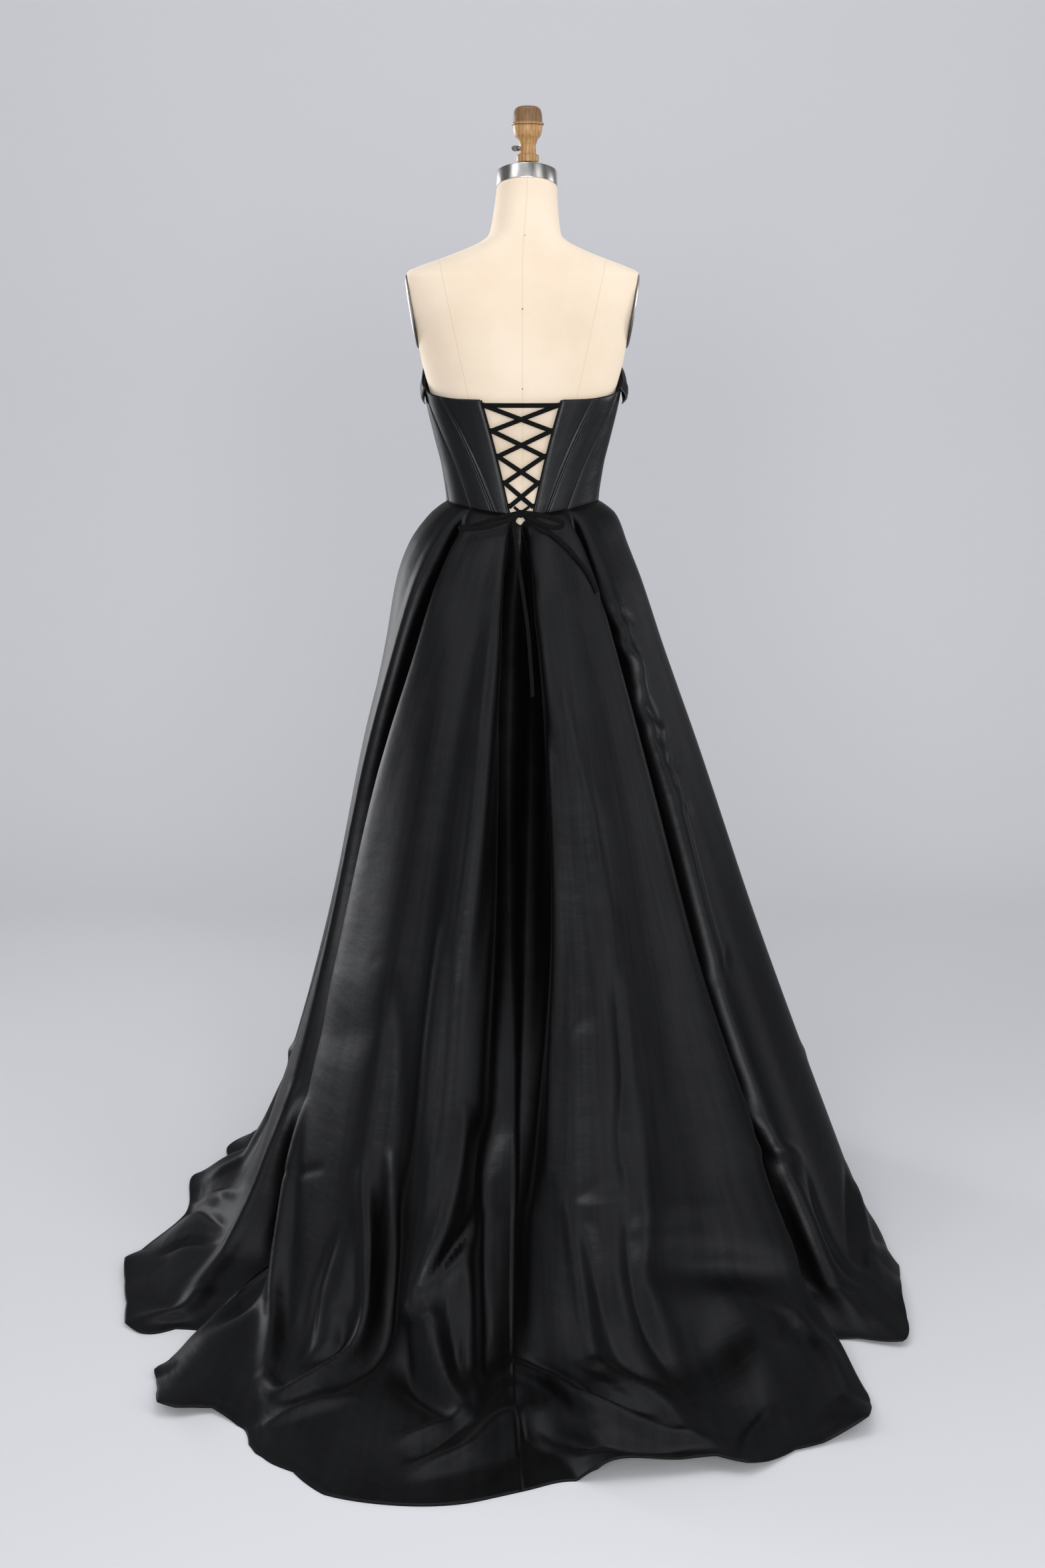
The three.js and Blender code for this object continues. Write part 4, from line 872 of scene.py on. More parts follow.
for word, side in SIDES:
    folded_band(word, side)

# The loops. Five loops of a thin rouleau, a bias tube of satin, sewn in a row onto a corded edge
# down each side of the open V. Each stands out into the gap and takes a turn of the lace.
CORDED_EDGE_RADIUS = 1.3
LOOP_WIRE_RADIUS = 0.9
LOOP_REACH = 5.0
LOOP_HALF_HEIGHT = 3.4
LOOP_INWARD = 0.3
CORD_CLEAR = 1.6 * SEAM_GAP
LOOP_HEIGHTS = np.array((1274, 1235, 1196, 1155, 1119), float)
# About how far the open V's edges stand from the body's middle, to turn a gap into degrees.
BACK_REACH = 100.0


def rouleau_satin():
    """The satin of the loops and laces: a bias tube pressed flat, mottled and nearly matt."""
    material, shader, wire = new_finish("rouleau_satin")
    place = wire.object_place()
    mottle = wire.noise(place, 260.0, 3.0)
    weave = wire.noise(wire.stretched(place, 3000, 900, 3000), 1.0, 1.0)
    fill(
        shader, wire,
        Base_Color=mottle.mixed((0.0035, 0.0036, 0.0039, 1.0), (0.008, 0.008, 0.0085, 1.0)),
        Roughness=mottle * 0.2 + 0.55,
        Specular_IOR_Level=0.035,
        Sheen_Weight=0.02,
        Sheen_Roughness=0.3,
        Normal=wire.bump(weave, 0.0001, 0.3),
    )
    return material


lace_satin = rouleau_satin()


def opening_heights(side):
    """The heights of the open V's edge at its top and at the waist seam."""
    top, bottom = seam_ends("opening", side)
    return neckline(np.array([float(top)]))[0], float(seam_height(np.pi / 2 - np.radians(bottom)))


def opening_edge(side, height):
    """The line beside the open V's edge where its cord lies."""
    top, bottom = seam_ends("opening", side)
    high, low = opening_heights(side)
    down = np.clip((high - height) / (high - low), 0, 1)
    stand_off = (CORDED_EDGE_RADIUS + CORD_CLEAR) / np.radians(BACK_REACH)
    return bodice_point(top + (bottom - top) * down - stand_off, side, height, CLOTH / 2)


def rounded_off(wave, squareness):
    """A sine or cosine raised to a power under 1, with its sign, which squares an oval off."""
    return np.sign(wave) * np.abs(wave) ** squareness


def swept(path, facing, width, thick, sides=20, squareness=0.72):
    """A flattened tube along a path, as points, quads and the faces that cap its two ends: at each
    step an oval section squared off, wide across and thin along the facing direction."""
    along = np.gradient(path, axis=0)
    along /= np.linalg.norm(along, axis=-1, keepdims=True)
    out = facing - along * (facing * along).sum(-1, keepdims=True)
    out /= np.linalg.norm(out, axis=-1, keepdims=True)
    across = np.cross(out, along)
    angle = np.linspace(0, 2 * np.pi, sides, endpoint=False)
    u = rounded_off(np.cos(angle), squareness)[:, None] * width / 2
    v = rounded_off(np.sin(angle), squareness)[:, None] * thick / 2
    ring = path[:, None] + across[:, None] * u + out[:, None] * v
    index = np.arange(len(path) * sides).reshape(len(path), sides)
    beside = np.roll(index, -1, axis=1)
    quads = np.stack([index[:-1], beside[:-1], beside[1:], index[1:]], -1).reshape(-1, 4)
    return ring.reshape(-1, 3), quads, np.stack([index[0, ::-1], index[-1]])


def swept_piece(node, strips):
    """One piece of several flattened tubes, in place of a CAD node. They pass into each other where
    they are sewn together."""
    points, faces, start = [], [], 0
    for ring, quads, caps in strips:
        points.append(ring)
        faces += (quads + start).tolist() + (caps + start).tolist()
        start += len(ring)
    smooth = [len(face) == 4 for face in faces]
    piece = mesh_piece(node + "_rouleau", np.concatenate(points), faces, smooth)
    finish_piece(piece, lace_satin, node)
    return piece


BACKWARD = np.array((0.0, 1.0, 0.0))


def loop_row(side):
    """The corded edge and its loops: each loop is half an ellipse that stands out into the gap."""
    high, low = opening_heights(side)
    edge = opening_edge(side, np.linspace(high - 1, low + 2, 60))
    cord_wide = 2 * CORDED_EDGE_RADIUS
    loop_wide = 2 * LOOP_WIRE_RADIUS
    strips = [swept(edge, BACKWARD + 0 * edge, cord_wide, cord_wide, 12, 1.0)]
    for root in opening_edge(side, LOOP_HEIGHTS):
        t = np.linspace(1, -1, 23)
        reach = LOOP_REACH * np.sqrt(1 - t * t)
        rise = LOOP_HALF_HEIGHT * t
        line = np.stack([root[0] - side * reach, root[1] - LOOP_INWARD + 0 * t, root[2] + rise], -1)
        loop = spline(line, 24)
        strips.append(swept(loop, BACKWARD + 0 * loop, loop_wide, loop_wide, 10, 1.0))
    return strips


for word, side in SIDES:
    swept_piece(f"loops_{word}", loop_row(side))

# The lace. A flat rouleau in two halves that turn in the loops and cross at the centre, one over
# the other, with a straight bar across the top. Each half lies its own distance off the body.
LACE_WIDTH = 7.2
LACE_THICK = 1.4
LACE_OVER = 5.1
LACE_UNDER = 2.8
# How far each run goes past its loop, and about how far it stands from the body's middle.
LACE_TURN = 1.5
LACE_REACH = 110.0


def lace_turn(side, row):
    """Where the lace turns in a loop: its direction from the centre back, and its height."""
    root = opening_edge(side, LOOP_HEIGHTS[row:row + 1])[0]
    x = root[0] - side * (LOOP_REACH - 1)
    return np.array((90 - np.degrees(np.arctan2(root[1], x)), LOOP_HEIGHTS[row]))


def lace_half(first_side, stand_off, with_bar):
    """Each run goes from one loop to the next across the gap, in equal steps of direction and
    height, so that it follows the body's round."""
    turns = [lace_turn(-first_side, 0)] if with_bar else []
    turns += [lace_turn(-first_side if row % 2 else first_side, row) for row in range(len(LOOP_HEIGHTS))]
    strips = []
    for start, end in zip(turns, turns[1:]):
        past = LACE_TURN / (np.radians(LACE_REACH) * abs(end[0] - start[0]))
        t = np.linspace(-past, 1 + past, 40)[:, None]
        way, height = (start + (end - start) * t).T
        line = bodice_point(way, 1, height, stand_off)
        strips.append(swept(line, BACKWARD + 0 * line, LACE_WIDTH, LACE_THICK))
    return strips


swept_piece("lace_over", lace_half(1, LACE_OVER, True))
swept_piece("lace_under", lace_half(-1, LACE_UNDER, False))

# The bow. The lace's two ends come down from the lowest loops and are tied at the waist seam in a
# knot with two long flattened loops.
KNOT = np.array((3, 113, 1109), float)
KNOT_WIDE = 6.0
KNOT_DEEP = 3.4
KNOT_LEAN = 2.4
KNOT_OUT = 0.6
KNOT_SLOPE = 0.8
KNOT_BAND = (9.5, 1.6)
BOW_LEFT = (
    (3, 115, 1111), (25, 120, 1106), (55, 123, 1098), (82, 125, 1091), (95, 126.5, 1089),
    (97, 129, 1088), (84, 131, 1087), (55, 129, 1090), (25, 125, 1099), (3, 117, 1109),
)
BOW_RIGHT = (
    (3, 115, 1109), (-14, 121, 1102), (-36, 127, 1092), (-52, 129, 1089), (-61, 131, 1092),
    (-62, 132, 1097), (-50, 130, 1102), (-32, 126, 1107), (-14, 122, 1110), (3, 117, 1111),
)
BOW_ENDS = (
    ((13, 100.4, 1118), (8, 106, 1114.5), (3, 112, 1110)),
    ((-10, 98.9, 1118), (-4, 104.5, 1114.5), (3, 112, 1110)),
)
BOW_WIDTH = 7.4
BOW_END_WIDTH = 4.4


def bow_strips():
    """The knot is a piece of lace wound twice round where the loops meet, in an oval that leans."""
    turn = np.linspace(0, 4 * np.pi, 72)
    lean = np.linspace(-KNOT_LEAN, KNOT_LEAN, 72)
    x = KNOT_WIDE * np.sin(turn) + lean
    y = KNOT_DEEP * np.cos(turn) + KNOT_OUT
    wound = np.stack([x, y, KNOT_SLOPE * lean], -1)
    strips = [swept(KNOT + wound, wound, *KNOT_BAND)]
    for route, count, width in (
        (BOW_LEFT, 90, BOW_WIDTH),
        (BOW_RIGHT, 90, BOW_WIDTH),
        (BOW_ENDS[0], 16, BOW_END_WIDTH),
        (BOW_ENDS[1], 16, BOW_END_WIDTH),
    ):
        line = spline(route, count)
        strips.append(swept(line, BACKWARD + 0 * line, width, LACE_THICK))
    return strips


swept_piece("bow", bow_strips())

# The lace's free ends. Each hangs from the knot and lies on the skirt: one down the centre, the
# other slanting across the right panel.
TAIL_CENTRE = (
    (3, 112.5, 1109), (9, 113.5, 1105), (13, 115.5, 1099), (13.5, 119.5, 1088), (11, 130.5, 1072),
    (8, 148, 1052), (5, 166, 1030), (1, 185, 1006), (-3, 203, 980), (-7, 222, 953), (-10, 238.5, 925),
    (-12, 254, 898), (-14, 269, 872), (-15, 282, 850),
)
TAIL_RIGHT = (
    (-1, 114, 1107), (-9, 117, 1099), (-24, 120.5, 1092), (-37, 124.5, 1086), (-50, 130, 1076),
    (-62, 135, 1067), (-74, 140.5, 1056), (-85, 148, 1043), (-95, 155.5, 1031), (-103, 163.5, 1018),
    (-110, 170.5, 1005), (-114, 176, 995),
)
TAIL_WIDTH = 6.0
# The way that the skirt under them faces: backwards, up, and aside by a share of the distance from
# the middle.
TAIL_FACING = np.array((0.0, 150.0, 60.0))
TAIL_ASIDE = 0.5


def lace_tail(word, route):
    """One free end, flat on the skirt along its route."""
    line = spline(route, 120)
    facing = TAIL_FACING + line * np.array((TAIL_ASIDE, 0, 0))
    piece = swept_piece(f"lace_tail_{word}", [swept(line, facing, TAIL_WIDTH, LACE_THICK)])


lace_tail("centre", TAIL_CENTRE)
lace_tail("right", TAIL_RIGHT)

# The dress form's torso. A limbless padded body covered in cream linen, with a seam down the
# centre back, two curved seams beside it and three pins in the back.
# Height, side, back and front half-widths, tilt of the section, its shift forward and its lean.
TORSO = np.array([
    (880, 138, 100, 96, 0, 0, 0),
    (892, 149, 108, 104, 0, 0, 0),
    (930, 156, 114, 107, 0, 0, 0),
    (980, 151, 112, 103, 0, 0, 0),
    (1030, 136, 103, 97, 0, 0, 0),
    (1075, 117, 93, 92, 0, 0, 0),
    (1120, 117.7, 95.5, 95.2, 0, 0, 0),
    (1170, 118.5, 92, 99, 0, 0, 0),
    (1225, 131, 94.5, 112, 0, 0, 0),
    (1280, 143.5, 98, 124, 0, 0, 0),
    (1330, 157, 101, 121, 0, 0, 0),
    (1385, 172, 99, 106, 0, 0, 0),
    (1435, 188, 92, 88, 0, 0, 0),
    (1470, 190, 80, 70, 0, 2, 0),
    (1484, 163, 71, 59, 0, 3, 0),
    (1497, 127, 63, 53, 0, 3, -1),
    (1510, 93, 58, 53, 2, 2, -2),
    (1521, 69, 57, 55, 5, 0, -3),
    (1531, 57, 56, 55, 8, -2, -4),
    (1552, 52.5, 53, 52, 12, -5, -5),
    (1580, 49, 49, 49, 15, -8, -6),
    (1604, 47, 47, 47, 16, -10, -7),
], float)
ARM_CUT_X = 171.0
ARM_CUT_HEIGHT = 1416.0
ARM_CUT_LEAN = 9.0
NECK_TILT = 16.0
# The seams' places in metres: the centre-back seam bends over by its lean between two heights, and
# the side seams' distance from the middle is their foot and the slope times the height.
BACK_SEAM_BEND = 1.49
BACK_SEAM_TOP = 1.61
BACK_SEAM_LEAN = -0.007
SIDE_SEAM_SLOPE = 0.215
SIDE_SEAM_FOOT = -0.192
PIN_HEIGHTS = (1530, 1419, 1299)
PIN_RADIUS = 1.3


def linen_cover():
    """Cream linen drawn tight over padding: fine crossing threads, a warm tone that varies in soft
    patches, and darker sunken lines along the back's seams."""
    material, shader, wire = new_finish("form_linen")
    place = wire.object_place()
    warp = wire.noise(wire.stretched(place, 1800, 1800, 160), 1.0, 1.0)
    weft = wire.noise(wire.stretched(place, 160, 160, 1800), 1.0, 1.0)
    patches = wire.noise(place, 7.0, 3.0)
    threads = warp * 0.5 + weft * 0.5
    tone = (patches * 0.7 + threads * 0.3).eased(0.3, 0.72)
    split = wire.node("ShaderNodeSeparateXYZ", {}, {"Vector": place})
    across, back, height = (Wire(wire.tree, split.socket.node.outputs[k]) for k in range(3))
    lean = height.eased(BACK_SEAM_BEND, BACK_SEAM_TOP) * BACK_SEAM_LEAN
    off_centre = (across - lean).unsigned()
    off_side = (across.unsigned() - (height * SIDE_SEAM_SLOPE + SIDE_SEAM_FOOT)).unsigned()
    nearest = off_centre.or_less(off_side)
    seam = (1.0 - nearest.eased(0.0003, 0.0012)) * back.eased(0.0, 0.02)
    cover = tone.mixed((0.74, 0.60, 0.45, 1.0), (0.82, 0.70, 0.56, 1.0))
    fill(
        shader, wire,
        Base_Color=(seam * 0.2).mixed(cover, (0.50, 0.38, 0.27, 1.0)),
        Roughness=threads * 0.1 + 0.78,
        Specular_IOR_Level=0.25,
        Sheen_Weight=0.15,
        Normal=wire.bump(threads * 0.3 - seam * 0.6, 0.0009, 0.5),
    )
    return material


linen = linen_cover()


def torso_grid(sides=128, rows=180):
    """The torso's face, [around][up]: sections of two half-ellipses, tilted and shifted by height,
    and cut flat at each armhole by moving points back to its plane."""
    heights = np.linspace(TORSO[0, 0], TORSO[-1, 0], rows)
    side, back, front, tilt, shift, lean = track(TORSO[:, 0], TORSO[:, 1:], heights).T
    angle = np.linspace(0, 2 * np.pi, sides, endpoint=False)[:, None]
    x = lean + side * np.cos(angle)
    y = shift + np.where(np.sin(angle) > 0, back, front) * np.sin(angle)
    z = heights + (y - shift) * np.tan(np.radians(tilt))
    limit = ARM_CUT_X + (z - ARM_CUT_HEIGHT) * np.tan(np.radians(ARM_CUT_LEAN))
    x = np.clip(x, -limit, limit)
    return np.stack([x, y, z], -1)


def closed_loft(name, grid):
    """A closed body from a grid of points, [around][up], with a fan of faces at each end."""
    sides, rows = grid.shape[:2]
    index = np.arange(sides * rows).reshape(sides, rows)
    beside = np.roll(index, -1, axis=0)
    quads = np.stack([index[:, :-1], beside[:, :-1], beside[:, 1:], index[:, 1:]], -1).reshape(-1, 4)
    foot, top = sides * rows, sides * rows + 1
    ends = np.concatenate([
        np.stack([beside[:, 0], index[:, 0], np.full(sides, foot)], -1),
        np.stack([index[:, -1], beside[:, -1], np.full(sides, top)], -1),
    ])
    points = np.concatenate([grid.reshape(-1, 3), grid[:, :1].mean(0), grid[:, -1:].mean(0)])
    smooth = [True] * len(quads) + [False] * len(ends)
    return mesh_piece(name, points, quads.tolist() + ends.tolist(), smooth)


body = torso_grid()
finish_piece(closed_loft("form_torso_linen", body), linen, "form_torso")

# The form's metal. Oval plates of brushed steel close its armholes, a turned steel cap closes its
# neck, and three steel pins are left in the linen of its back.
NECK_TOP = np.array((-7.0, -10.0, 1604.0))
CAP_RADIUS = 47.5
CAP_TALL = 24.0
PLATE_WIDE = 42.0
PLATE_TALL = 58.0
PLATE_THICK = 4.0


def brushed_steel(name, rings, dark=(0.2, 0.19, 0.18, 1.0), light=(0.66, 0.65, 0.63, 1.0)):
    """Brushed steel: broad dim and bright bands of painted reflection, standing in for the room mirrored in
    it, and finer scratches that run the same way. The rings are how close the bands lie along X, Y and Z."""
    material, shader, wire = new_finish(name)
    place = wire.object_place()
    # Painted reflection: broad dim and bright bands in the colour stand in for the room mirrored in the
    # steel.
    painted_reflection_bands = wire.noise(wire.stretched(place, *rings), 1.0, 1.0)
    scratches = wire.noise(wire.stretched(place, *(12 * ring for ring in rings)), 1.0, 2.0)
    smudge = wire.noise(place, 40.0, 3.0)
    tone = (painted_reflection_bands.eased(0.36, 0.62) * 0.85 + scratches * 0.3).eased(0.1, 1.05)
    fill(
        shader, wire,
        Base_Color=tone.mixed(dark, light),
        Metallic=1.0,
        Roughness=scratches * 0.1 + smudge * 0.08 + 0.22,
        Normal=wire.bump(scratches, 0.0001, 0.15),
    )
    return material


def turned_grid(profile, sides=96):
    """A turned piece's grid, [around][up], from [radius, height] pairs on the Z axis. Its first and
    last radius close on the axis through the loft's fans."""
    radius, height = np.array(profile, float).T
    angle = np.linspace(0, 2 * np.pi, sides, endpoint=False)[:, None]
    return np.stack([radius * np.cos(angle), radius * np.sin(angle), height + 0 * angle], -1)


def rounded(profile, radius, count=4):
    """A profile with each inner corner replaced by an arc that starts and ends a radius away from
    it, or half a side where that is shorter."""
    p = np.array(profile, float)
    made = [p[0]]
    for a, b, c in zip(p, p[1:], p[2:]):
        before, after = a - b, c - b
        near = b + before * min(0.5, radius / np.linalg.norm(before))
        far = b + after * min(0.5, radius / np.linalg.norm(after))
        t = np.linspace(0, 1, count + 1)[:, None]
        made += list(near * (1 - t) ** 2 + 2 * b * t * (1 - t) + far * t**2)
    return np.array([*made, p[-1]])


def turned(points, axis, degrees):
    """Points turned about X, Y or Z, by the right-hand rule."""
    first, second = {"x": (1, 2), "y": (2, 0), "z": (0, 1)}[axis]
    c, s = np.cos(np.radians(degrees)), np.sin(np.radians(degrees))
    made = points.copy()
    made[..., first] = c * points[..., first] - s * points[..., second]
    made[..., second] = s * points[..., first] + c * points[..., second]
    return made


cap_steel = brushed_steel("cap_steel", (34, 34, 0.5))
cap_profile = rounded([
    (0.5, SEAM_GAP), (CAP_RADIUS, SEAM_GAP), (CAP_RADIUS, CAP_TALL), (0.5, CAP_TALL),
], 1.6)
cap = closed_loft("neck_cap_steel", turned(turned_grid(cap_profile), "x", NECK_TILT) + NECK_TOP)
finish_piece(cap, cap_steel, "neck_cap")

back_line = body[len(body) // 4]
for number, height in enumerate(PIN_HEIGHTS, 1):
    turn = np.linspace(0.02, np.pi - 0.02, 12)
    ball = turned_grid(np.stack([PIN_RADIUS * np.sin(turn), -PIN_RADIUS * np.cos(turn)], -1), 20)
    place = np.array([np.interp(height, back_line[:, 2], back_line[:, k]) for k in range(3)])
    finish_piece(closed_loft(f"form_pin_{number}_steel", ball + place), cap_steel)

plate_steel = brushed_steel("plate_steel", (60, 9, 9), (0.12, 0.12, 0.12, 1.0), (0.4, 0.4, 0.41, 1.0))
for word, side in SIDES:
    plate_profile = rounded([(0.01, 0), (0.96, 0), (1, 0.5), (0.94, 1), (0.01, 1)], 0.08)
    grid = turned_grid(plate_profile) * np.array((PLATE_TALL, PLATE_WIDE, PLATE_THICK))
    grid = turned(turned(grid + np.array((0, 0, SEAM_GAP)), "y", 90), "y", ARM_CUT_LEAN)
    grid += np.array((ARM_CUT_X, 0, ARM_CUT_HEIGHT))
    grid = grid if side > 0 else turned(grid, "z", 180)
    plate = closed_loft(f"arm_plate_{word}_steel", grid)
    finish_piece(plate, plate_steel, f"arm_plate_{word}")

# The finial. A black iron rod stands on the cap and carries a turned and varnished hardwood
# finial, which a steel thumb screw clamps to it.
ROD_RADIUS = 6.0
ROD_ASIDE = -1.0
FINIAL_FOOT = 1643.0
cap_lean = np.sin(np.radians(NECK_TILT)) * CAP_TALL
ROD_AXIS = np.array((NECK_TOP[0] + ROD_ASIDE, NECK_TOP[1] - cap_lean, 0))
# Where the dome starts, in metres.
DOME_HEIGHT = 1.702


def black_iron():
    """Cast and enamelled iron: nearly black, with a faintly pitted face."""
    material, shader, wire = new_finish("black_iron")
    place = wire.object_place()
    pits = wire.noise(place, 420.0, 4.0)
    fill(
        shader, wire,
        Base_Color=pits.mixed((0.014, 0.014, 0.015, 1.0), (0.045, 0.045, 0.047, 1.0)),
        Metallic=0.6,
        Roughness=pits * 0.25 + 0.35,
        Normal=wire.bump(pits, 0.0004, 0.4),
    )
    return material


def turned_wood():
    """Turned hardwood: long grain along the axis, wavy rings, a dome stained darker with a burnt
    line under it, and satin varnish."""
    material, shader, wire = new_finish("turned_wood")
    place = wire.object_place()
    warp = wire.noise(place, 30.0, 2.0)
    grain = wire.noise(wire.stretched(place, 420, 420, 26), 1.0, 5.0)
    rings = wire.node("ShaderNodeTexWave", {"wave_type": "BANDS", "bands_direction": "X"}, {
        "Vector": place, "Scale": 60.0, "Distortion": 5.0, "Detail": 3.0,
    }, 1)
    tone = (grain * 0.6 + rings * 0.25 + warp * 0.3).eased(0.28, 0.80)
    height = wire.node("ShaderNodeSeparateXYZ", {}, {"Vector": place}, 2)
    stained = height.eased(DOME_HEIGHT - 0.002, DOME_HEIGHT + 0.002) * 0.75
    over_line = height.eased(DOME_HEIGHT - 0.003, DOME_HEIGHT - 0.002)
    burnt = height.eased(DOME_HEIGHT - 0.0045, DOME_HEIGHT - 0.0035) - over_line
    cut = tone.mixed((0.27, 0.125, 0.038, 1.0), (0.47, 0.26, 0.095, 1.0))
    dome = stained.mixed(cut, (0.10, 0.045, 0.016, 1.0))
    fill(
        shader, wire,
        Base_Color=(burnt * 0.8).mixed(dome, (0.04, 0.022, 0.012, 1.0)),
        Roughness=grain * 0.15 + 0.42,
        Coat_Weight=0.08,
        Normal=wire.bump(grain, 0.0002, 0.3),
    )
    return material


iron = black_iron()
wood = turned_wood()
cap_slope = np.tan(np.radians(NECK_TILT))
rod_angle = np.linspace(0, 2 * np.pi, 48, endpoint=False)
rod_x = ROD_AXIS[0] + ROD_RADIUS * np.cos(rod_angle)
rod_y = ROD_AXIS[1] + ROD_RADIUS * np.sin(rod_angle)
cap_top = NECK_TOP[2] + (CAP_TALL + SEAM_GAP) / np.cos(np.radians(NECK_TILT))
rod_foot = cap_top + (rod_y - NECK_TOP[1]) * cap_slope
rod_low = np.stack([rod_x, rod_y, rod_foot], -1)
rod_high = np.stack([rod_x, rod_y, FINIAL_FOOT - SEAM_GAP + 0 * rod_x], -1)
finish_piece(closed_loft("finial_rod_iron", np.stack([rod_low, rod_high], 1)), iron, "finial_rod")


def profile_curve(heights, radii, count):
    """A turned profile's curved stretch: a smooth monotone curve through radii at some heights."""
    rows = np.linspace(heights[0], heights[-1], count)
    return np.stack([track(heights, radii, rows)[:, 0], rows], -1)


finial_foot = ROD_AXIS + np.array((0, 0, FINIAL_FOOT))
finial_profile = np.concatenate([
    rounded([(0.5, 0), (17.5, 0), (17.5, 10.5), (12.8, 12), (12.6, 22)], 1.6, 5),
    profile_curve((26, 34, 40, 48, 53.5), (12.8, 16, 20.5, 22.5, 22.8), 22),
    rounded([(22.8, 54.5), (25.2, 55.2), (25.2, 58.2), (22.8, 59)], 0.8, 4),
    profile_curve((60, 68, 77, 82, 84, 84.5), (22.8, 22.4, 20.5, 16, 9, 0.5), 26),
])
finish_piece(closed_loft("finial_wood", turned_grid(finial_profile) + finial_foot), wood, "finial")

# The thumb screw. Turned from steel, with a shaft that threads into the finial's neck, a collar and
# a flat oval wing pressed onto its end.
SCREW_TURN = 20.0
SCREW_HEIGHT = 20.0
SCREW_SHAFT = 2.45
SCREW_INSIDE = 6.0
SCREW_COLLAR = 4.0
SCREW_CLEAR = 5.0
FINIAL_NECK = 12.7
WING_SIZE = (6, 4.5, 1.2)
WING_OUT = 3.0

screw_foot = FINIAL_NECK - SCREW_INSIDE
screw_head = FINIAL_NECK + SCREW_CLEAR
screw_profile = rounded([
    (0.2, screw_foot), (SCREW_SHAFT, screw_foot), (SCREW_SHAFT, FINIAL_NECK + 1),
    (SCREW_COLLAR, FINIAL_NECK + 2), (SCREW_COLLAR, screw_head), (0.2, screw_head),
], 0.4)
wing_profile = rounded([(0.01, -1), (0.9, -1), (1, 0), (0.9, 1), (0.01, 1)], 0.12)
wing = turned_grid(wing_profile, 48) * np.array(WING_SIZE)
wing = turned(turned(wing, "z", 90), "x", 90) + np.array((0, 0, screw_head + WING_OUT))
screw_steel = brushed_steel("screw_steel", (90, 90, 90), (0.1, 0.1, 0.1, 1.0), (0.36, 0.36, 0.36, 1.0))


def screw_piece(name, grid, node=None):
    """A body made upright on the Z axis, laid along the screw's axis at its hole."""
    at_hole = turned(turned(grid, "y", 90), "z", SCREW_TURN) + finial_foot + np.array((0, 0, SCREW_HEIGHT))
    finish_piece(closed_loft(name, at_hole), screw_steel, node, body="thumb_screw")


screw_piece("thumb_screw_steel", turned_grid(screw_profile, 48), "thumb_screw")
screw_piece("thumb_screw_wing_steel", wing)

# The stand. A steel pole clamped in a heavy round base of cast iron, and hidden under the skirt.
# Both are plain ones of usual size.
BASE_TOP = 62.0
POLE_RADIUS = 14.0
base_profile = rounded([
    (0.5, 0), (185, 0), (185, 9), (172, 15), (70, 24), (30, 34), (24, 44), (22, BASE_TOP), (0.5, BASE_TOP),
], 2.0)
finish_piece(closed_loft("stand_base_iron", turned_grid(base_profile)), iron, "stand_base")
pole_profile = rounded([
    (0.5, BASE_TOP + SEAM_GAP), (POLE_RADIUS, BASE_TOP + SEAM_GAP),
    (POLE_RADIUS, TORSO[0, 0] - SEAM_GAP), (0.5, TORSO[0, 0] - SEAM_GAP),
], 0.6)
pole_steel = brushed_steel("pole_steel", (300, 300, 4))
finish_piece(closed_loft("stand_pole_steel", turned_grid(pole_profile)), pole_steel, "stand_pole")

# The studio. A pale seamless paper sweep, lit by a large soft lamp behind the camera, two lamps high
# at the sides, one at the right, two from beyond the gown that draw its edges, one overhead and one
# on the wall. Places and sizes are in metres.
PAPER = (0.70, 0.705, 0.73, 1.0)
PAPER_FRONT = 8.0
PAPER_BEND = -1.6
PAPER_RADIUS = 1.2
PAPER_WALL = PAPER_BEND - PAPER_RADIUS
PAPER_HALF_WIDTH = 7.0


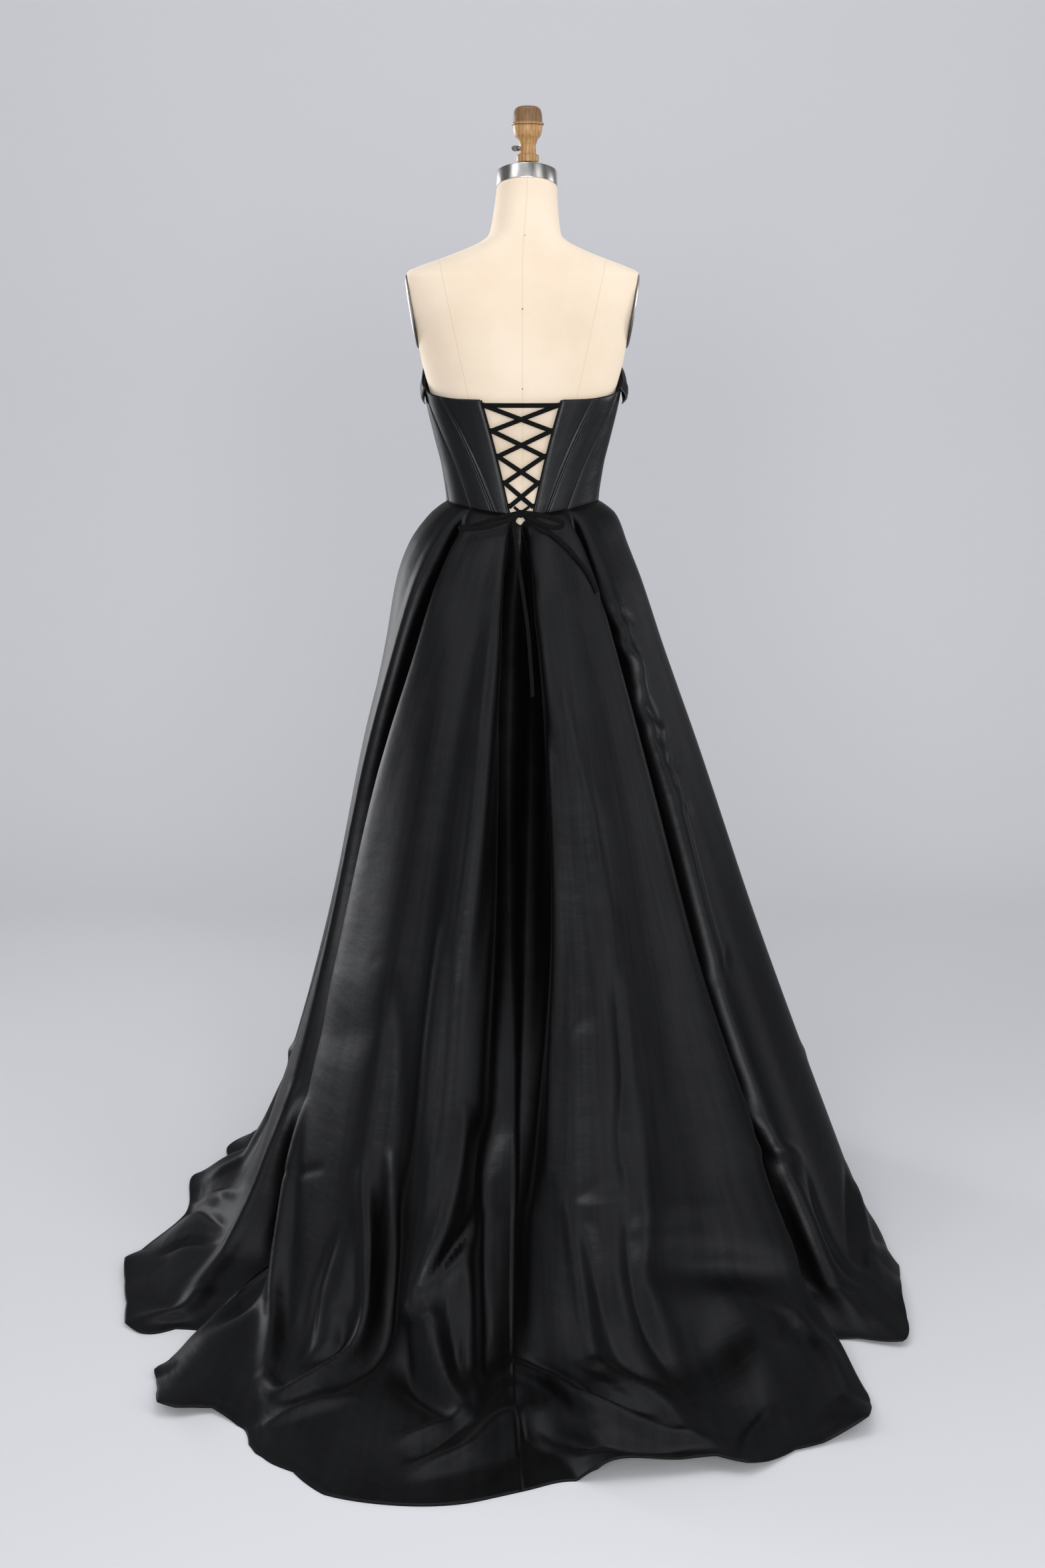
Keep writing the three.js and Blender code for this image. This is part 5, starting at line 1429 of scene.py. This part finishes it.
def paper_sweep():
    """Floor and wall in one curved sheet: straight floor, quarter circle, straight wall. It shows
    only from the studio's side, so that the gown can also be looked at from beyond the wall."""
    turn = np.linspace(0, np.pi / 2, 24)[1:]
    floor_y = np.linspace(PAPER_FRONT, PAPER_BEND, 12)
    bend = [PAPER_BEND - PAPER_RADIUS * np.sin(turn), PAPER_RADIUS - PAPER_RADIUS * np.cos(turn)]
    profile = np.concatenate([
        np.stack([floor_y, 0 * floor_y], -1),
        np.stack(bend, -1),
        np.array([(PAPER_WALL, 3.0), (PAPER_WALL, 6.0)]),
    ])
    across = np.linspace(-PAPER_HALF_WIDTH, PAPER_HALF_WIDTH, 15)[:, None]
    x = across + 0 * profile[:, 0]
    points = np.stack([x, profile[:, 0] + 0 * x, profile[:, 1] + 0 * x], -1)
    index = np.arange(points.shape[0] * points.shape[1]).reshape(points.shape[:2])
    quads = np.stack([index[:-1, :-1], index[:-1, 1:], index[1:, 1:], index[1:, :-1]], -1).reshape(-1, 4)
    material, shader, wire = new_finish("studio_paper")
    seen_from_behind = wire.node("ShaderNodeNewGeometry", output=6)
    fill(
        shader, wire,
        Base_Color=PAPER,
        Roughness=0.9,
        Specular_IOR_Level=0.2,
        Alpha=1.0 - seen_from_behind,
    )
    piece = mesh_piece("studio_paper", points.reshape(-1, 3) / MM, quads.tolist(), [True] * len(quads))
    piece.data.materials.append(material)


paper_sweep()


# Each lamp's name, place, aim, size, watts and beam's spread in degrees.
LAMPS = (
    ("camera_lamp", (0.0, 4.7, 1.7), (0.0, 0.4, 1.1), (2.6, 1.2), 116, 180),
    ("left_high_lamp", (2.2, 1.6, 3.3), (0.1, 0.2, 0.9), (1.2, 1.2), 12, 180),
    ("right_high_lamp", (-2.2, 1.8, 3.3), (-0.1, 0.2, 0.9), (1.2, 1.2), 11, 180),
    ("right_lamp", (-2.7, 2.6, 1.5), (0.0, 0.2, 1.0), (1.2, 1.4), 14, 180),
    ("left_edge_lamp", (2.2, -2.0, 1.1), (0.2, 0.1, 0.95), (1.3, 1.6), 10, 45),
    ("right_edge_lamp", (-2.4, -0.6, 1.5), (-0.1, 0.0, 1.18), (0.6, 0.8), 1.1, 30),
    ("top_lamp", (0.0, 0.6, 4.0), (0.0, 0.6, 0.0), (2.4, 2.4), 24, 180),
    ("backdrop_lamp", (0.0, -0.4, 3.6), (0.0, -2.8, 1.2), (3.0, 0.6), 6, 180),
)


def soft_lamp(name, place, aim, size, watts, spread):
    """A rectangular lamp at a place, turned to what it is aimed at."""
    lamp = bpy.data.lights.new(name, "AREA")
    lamp.shape = "RECTANGLE"
    lamp.size, lamp.size_y = size
    lamp.energy = watts
    lamp.spread = np.radians(spread)
    holder = bpy.data.objects.new(name, lamp)
    holder.location = place
    way = np.array(aim, float) - np.array(place, float)
    flat = np.hypot(way[0], way[1])
    holder.rotation_euler = (np.arctan2(flat, -way[2]), 0.0, np.arctan2(way[1], way[0]) - np.pi / 2)
    bpy.context.scene.collection.objects.link(holder)


for lamp in LAMPS:
    soft_lamp(*lamp)

world = bpy.data.worlds.new("studio_air")
world.use_nodes = True
air = world.node_tree.nodes["Background"]
air.inputs["Color"].default_value = (0.93, 0.95, 1.0, 1.0)
air.inputs["Strength"].default_value = 0.44
bpy.context.scene.world = world
bpy.context.scene.view_settings.view_transform = "Standard"
